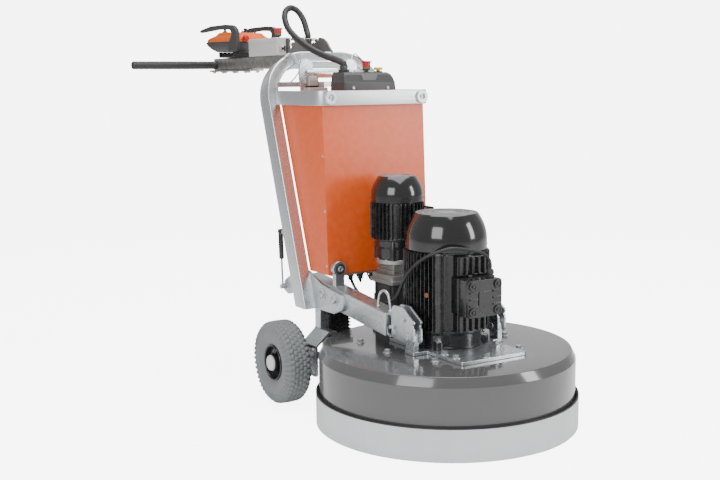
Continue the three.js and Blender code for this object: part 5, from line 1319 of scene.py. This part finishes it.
def rail(side):
    outline = rounded([(-70, remote_base + 1), (-78, remote_seam - 4), (-98, remote_base + 80), (-84, remote_base + 95),
                       (-20, remote_base + 98), (70, remote_base + 90), (112, remote_base + 86),
                           (112, remote_base + 98),
                       (40, remote_base + 114), (-60, remote_base + 117.5), (-106, remote_base + 113),
                       (-129, remote_base + 90), (-129, remote_base + 4)], 12)
    return slab(outline, side * 113, side * 133, "x")


piece("remote_clip", "handle", [on_remote(surface) for surface in [
    block(-70, 40, -40, 60, boom_roof + 0.3, boom_roof + 8, 5), block(-70, 40, -40, -32, boom_roof + 7, 1300.7, 2),
    block(-70, 40, 52, 60, boom_roof + 7, 1300.7, 2), block(-62, -50, -30, 50, boom_roof + 8, 1292, 2)]],
    gland_plastic, ["remote_cradle"], bevel=0.0012)
piece("remote_lower", "remote", [on_remote(surface) for surface in [loft([
    (remote_base, -92, 92, -70, 54), (remote_base + 3, -96, 96, -76, 60), (remote_base + 14, -108, 108, -90, 76),
    (remote_base + 28, -114, 114, -96, 94), (remote_seam - 5, -117.5, 117.5, -99.5, 99.5),
    (remote_seam, -117.5, 117.5, -99.5, 99.5)], 22, 6), rail(-1), rail(1)]], remote_dark,
    ["remote_base"], bevel=0.0022, sharp=45)
piece("remote_upper", "remote", [on_remote(loft([
    (remote_seam - 0.5, -111, 111, -99.5, 99.5), (remote_seam + 10, -110.5, 110.5, -99, 98),
    (remote_seam + 17, -108, 108, -96, 90), (remote_seam + 24, -101, 101, -88, 72),
        (remote_seam + 28, -98, 98, -80, 58),
    (remote_seam + 32, -97, 97, -74, 50), (remote_roof - 2, -94, 94, -64, 42), (remote_roof, -91, 91, -61, 39)], 22,
        6))],
    remote_orange, ["remote_top"], sharp=24)
piece("remote_plate", "remote", [on_remote(slab(rounded([(-40, -50), (30, -50), (30, 30), (-40, 30)], 6), remote_base
      - 0.4, remote_base + 1))], pale_plate)
switches = [on_remote(turned(rounded([(0, remote_roof - 1), (6, remote_roof - 1), (5, remote_roof + 3),
            (2, remote_roof + 5), (2, remote_roof + 13), (0, remote_roof + 14)], 0.8, closed=False), x, -38, 20))
            for x in (-66, -40, -13, 13, 40, 66)]
piece("remote_switches", "remote", switches, gland_plastic)


def joystick(side):
    """A stem with a dished knob on it."""
    x, z = side * 62, remote_roof
    return on_remote(turned(rounded([(0, z - 8), (3.8, z - 8), (3.8, z + 10), (6, z + 11), (9, z + 20), (8.6, z + 23.5),
                                     (5, z + 24), (0, z + 22.6)], 0.8, closed=False), x, 22, 32))


for side, word in [(-1, "left"), (1, "right")]:
    piece(f"joystick_knob_{word}", f"joystick_{word}", [joystick(side)], gland_plastic,
          [f"joystick_{word}"])
    run = np.linspace(0, 1, 25)
    boot = np.c_[17 - 11 * run + 0.9 * np.cos(8 * math.pi * run), remote_roof - 1 + 9.5 * run]
    piece(f"joystick_boot_{word}", "remote", [on_remote(turned(np.vstack([[0, remote_roof - 1], boot, [0, remote_roof
          + 8.5]]), side * 62, 22, 36))], edge_rubber)
piece("remote_stop_head", "remote_stop", [on_remote(turned_along(rounded(
    [(0, 0), (12, 0), (14.8, 8), (15, 14), (12, 16), (5.8, 16), (5.8, 32), (0, 32)], 1.2, False),
    (-62, -122, remote_seam + 14), (0, 1, 0), 40))], button_red, ["remote_stop_button"])

# ---- Gas strut and its lever ----
# A black cylinder hung from a stud behind the left upright. Its bright rod ends in an eye on a zinc lever that
# turns on the frame.
strut_x, lever_x = -261.7, -251.7
strut_top = np.array([strut_x, frame_rear(601) + 29, 601.0])
strut_foot = np.array([strut_x, frame_rear(601) + 19, 388.0])
strut_way = strut_foot - strut_top
strut_long = np.linalg.norm(strut_way)
strut_black = finish("strut_black", (0.012, 0.012, 0.013), 0.3, bump=0.04, coat=0.4)
piece("strut_barrel", "strut_cylinder", [
    turned_along(rounded([(0, 6), (8, 6), (9.5, 12), (9.5, 0.49 * strut_long), (7, 0.5 * strut_long),
                          (4.4, 0.5 * strut_long), (4.4, 0.3 * strut_long), (0, 0.3 * strut_long)], 1, False),
                              strut_top,
                 strut_way, 40),
    turned_along(rounded([(4.4, -8), (9, -8), (9, 8), (4.4, 8)], 1), strut_top, (1, 0, 0), 32, True)], strut_black,
    ["gas_strut_cylinder"])
piece("strut_piston", "strut_rod", [
    turned_along(rounded([(0, 0.42 * strut_long), (3.9, 0.42 * strut_long), (3.9, strut_long - 12),
        (6.5, strut_long - 11),
                          (6.5, strut_long - 4), (0, strut_long - 4)], 0.5, False), strut_top, strut_way, 24),
    turned_along(rounded([(0, -9), (9, -9), (9, 9), (0, 9)], 1.2, False), strut_foot, (1, 0, 0), 28),
    turned_along([(0, 9), (3.9, 9), (3.9, 18), (0, 18)], strut_foot, (1, 0, 0), 16)], latch_steel,
    ["gas_strut_rod"])
pivot = (frame_rear(425) + 24, 425.0)
foot_y, foot_z = strut_foot[1], strut_foot[2]
lever = rounded([(pivot[0] - 10, 441), (pivot[0] + 16, 435), (foot_y + 6, foot_z + 22), (foot_y + 14, foot_z - 14),
                 (foot_y - 24, foot_z - 28), (pivot[0] - 22, 375), (pivot[0] - 20, 417)], 9)
piece("lever_plate", "strut_lever", [slab(lever, lever_x, lever_x + 8, "x")], zinc_plate, ["strut_lever"],
      bevel=0.0012)

# ---- Wheels ----
# Grey rubber tyres with a smooth side wall, ribbed shoulders and a block tread, on black pressed rims with a
# white cap over each axle.
tyre_rubber = finish("tyre_rubber", (0.21, 0.222, 0.23), 0.62, tint=(0.15, 0.16, 0.167), variation=0.5, scale=260,
                     spread=0.12, bump=0.25, depth=0.0004, wear=(0.32, 0.33, 0.34), worn=0.15)
rim_black = finish("rim_black", (0.014, 0.014, 0.015), 0.25, bump=0.05, coat=0.4)
cap_white = finish("cap_white", (0.72, 0.73, 0.74), 0.35, tint=(0.62, 0.63, 0.64), bump=0.05)
wheel_radius, wheel_x, tread_blocks = 152.0, 375.0, 46
lane_width, tread_depth, rib_depth = 16, 5.5, 5.0
bead_radius, bead_half = 66.3, 36.0


def tyre(side):
    """A turned profile pushed in along its own normal: radial ribs on the shoulders, and across the tread wavy
    rings and notches whose phase changes from lane to lane, each a smooth step of a cosine."""
    corners = rounded([(66.3, -36), (78, -42), (98, -49), (124, -50.6), (143, -45), (151, -33), (152, 0), (151, 33),
                       (143, 45), (124, 50.6), (98, 49), (78, 42), (66.3, 36)], 13, closed=False, steps=8)
    fine = np.linspace(0, 1, 120)
    run = np.concatenate([[0], np.cumsum(np.linalg.norm(np.diff(corners, axis=0), axis=1))])
    radius, across = (np.interp(fine * run[-1], run, corners[:, k]) for k in (0, 1))
    slope = np.gradient(np.c_[radius, across], axis=0)
    normal = np.c_[slope[:, 1], -slope[:, 0]] / np.linalg.norm(slope, axis=1)[:, None]
    angle = 2 * math.pi * np.arange(8 * tread_blocks) / (8 * tread_blocks)
    wave = tread_blocks * angle[None, :]
    x = across[:, None]
    lane = np.floor((np.abs(x) + lane_width / 2) / lane_width)
    notch = np.clip((np.cos(wave + math.pi * lane) - 0.45) / 0.35, 0, 1)
    ring = np.clip(1.5 - np.abs(np.abs(x) - 8 - 1.8 * np.cos(wave)) / 1.6, 0, 1)
    ring = np.maximum(ring, np.clip(1.5 - np.abs(np.abs(x) - 24 - 1.8 * np.cos(wave)) / 1.6, 0, 1))
    on_tread = np.clip((radius - 140) / 6, 0, 1)[:, None]
    on_shoulder = (np.clip((radius - 112) / 12, 0, 1) * np.clip((151.6 - radius) / 4, 0, 1))[:, None]
    rib = np.clip(0.5 + 0.9 * np.cos(wave), 0, 1)
    deep = tread_depth * on_tread * np.maximum(0.85 * notch, ring) + rib_depth * on_shoulder * rib
    r = radius[:, None] - deep * normal[:, :1]
    points = np.stack([side * wheel_x + side * (x - deep * normal[:, 1:]), axle_y + r * np.cos(angle),
                       wheel_radius + r * np.sin(angle)], -1)
    count = len(angle)
    inner = np.stack([np.full((2, count), side * wheel_x) + side * np.array([[bead_half], [-bead_half]]),
                      axle_y + bead_radius * np.cos(angle) * np.ones((2, 1)), wheel_radius + bead_radius * np.sin(angle)
                      * np.ones((2, 1))], -1)
    rings = np.concatenate([points, inner[:1], inner[1:]]).reshape(-1, 3)
    return in_frame(rings), grid_faces(len(points) + 2, count, wrap_rows=True)


def on_axle(profile, side, sides=72, closed=False):
    return turned_along(profile, (side * wheel_x, axle_y, wheel_radius), (side, 0, 0), sides, closed)


for side, word in [(-1, "left"), (1, "right")]:
    piece(f"wheel_tyre_{word}", f"wheel_{word}", [tyre(side)], tyre_rubber, [f"tyre_{word}"], sharp=60)
    dish = rounded([(66, -38), (66.2, 38), (64, 42), (61, 41), (59, 37), (58, 16), (50, 13), (34, 16), (31, 44),
        (0, 44),
                    (0, -52), (34, -52), (34, -6), (58, -2), (60, -38)], 2.2, closed=False)
    studs = []
    for k in range(4):
        place = math.pi * (0.25 + 0.5 * k)
        studs += hex_bolt((side * (wheel_x + 13), axle_y + 45 * math.cos(place), wheel_radius + 45 * math.sin(place)),
                          (side, 0, 0), 10, height=5)
    piece(f"wheel_dish_{word}", f"wheel_{word}", [on_axle(dish, side)], rim_black,
          [f"wheel_rim_{word}"])
    piece(f"wheel_studs_{word}", f"wheel_{word}", studs, zinc_screw)
    piece(f"wheel_cap_{word}", f"wheel_{word}", [on_axle(rounded(
        [(0, 43), (28, 43), (28, 49), (25, 52.5), (6, 53), (5, 51.6), (0, 51.6)], 1, False), side, 48)], cap_white)
    piece(f"wheel_axle_{word}", f"wheel_{word}", [turned_along([(0, 0), (13.9, 0), (13.9, 180), (0, 180)],
          (side * 153.5, axle_y, wheel_radius), (side, 0, 0), 32)], zinc_screw)

# ---- Wheel legs and gear motors ----
# Zinc-plated weldments: a column up to the arm, a sloping plate over the wheel's inner side and a flange for the
# axle. A black gear motor is bolted inside each.
def wheel_leg(side):
    column = block(175.7, 211.7, 499.9, 541.9, 215, 351, 2)
    slope = slab([(175.7, 250), (211.7, 252), (267.7, 204), (267.7, 192), (211.7, 239), (175.7, 238)], axle_y - 62,
                 axle_y + 40, "y")
    nose = slab(rounded([(axle_y - 62, 86), (axle_y + 40, 86), (axle_y + 40, 203), (axle_y - 62, 203)], 14), 257.7,
        267.7,
                "x")
    parts = []
    for points, faces in (column, slope, nose):
        flat = points - head_axis
        parts.append((head_axis + flat * [side, 1, 1], faces))
    return parts, [weld_bead([(side * 212, y, 252) for y in (axle_y - 2, axle_y + 18, axle_y + 38)], 2.6)]


def gear_motor(side):
    parts = [block(min(side * 129.7, side * 175.2), max(side * 129.7, side * 175.2), 461.9, 561.9, 108, 214, 10),
             block(min(side * 78, side * 172), max(side * 78, side * 172), 506, 572, 207, 330, 14),
             block(min(side * 69.7, side * 175.2), max(side * 69.7, side * 175.2), 501.9, 575.9, 322, 345, 10)]
    for z in np.arange(222, 318, 12):
        parts.append(block(min(side * 72, side * 174), max(side * 72, side * 174), 503, 575, z, z + 4, 12))
    return parts


for side, word in [(-1, "left"), (1, "right")]:
    plates, beads = wheel_leg(side)
    piece(f"leg_plates_{word}", "chassis", plates, zinc_plate, [f"wheel_leg_{word}"], bevel=0.0016)
    piece(f"leg_beads_{word}", "chassis", beads, zinc_screw)
    piece(f"gear_motor_case_{word}", "chassis", gear_motor(side), black_enamel,
          [f"gear_motor_{word}"], bevel=0.0016)
    leg_bolts = []
    for y in (axle_y - 44, axle_y + 22):
        for z in (104, 186):
            leg_bolts += hex_bolt((side * 267.7, y, z), (side, 0, 0), 15)
    piece(f"leg_bolts_{word}", "chassis", leg_bolts, zinc_screw)

# ---- Inside the head and the cabinet ----
# The planetary drive is machined steel with an oiled sheen, and the inverter is a cast aluminium case.
oiled_steel = finish("oiled_steel", (0.34, 0.335, 0.33), 0.3, 0.9, tint=(0.2, 0.195, 0.19), variation=0.6, scale=180,
                     spread=0.2, bump=0.15, wear=(0.7, 0.7, 0.7), worn=0.4)
cast_aluminium = finish("cast_aluminium", (0.46, 0.47, 0.48), 0.42, 0.7, variation=0.5, scale=240, bump=0.3)
for node in ("gear_drum", "drum_floor", "satellite_1", "satellite_2", "satellite_3", "main_shaft", "drive_pinion"):
    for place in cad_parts[node].material_slots:
        place.material = oiled_steel
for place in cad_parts["frequency_inverter"].material_slots:
    place.material = cast_aluminium
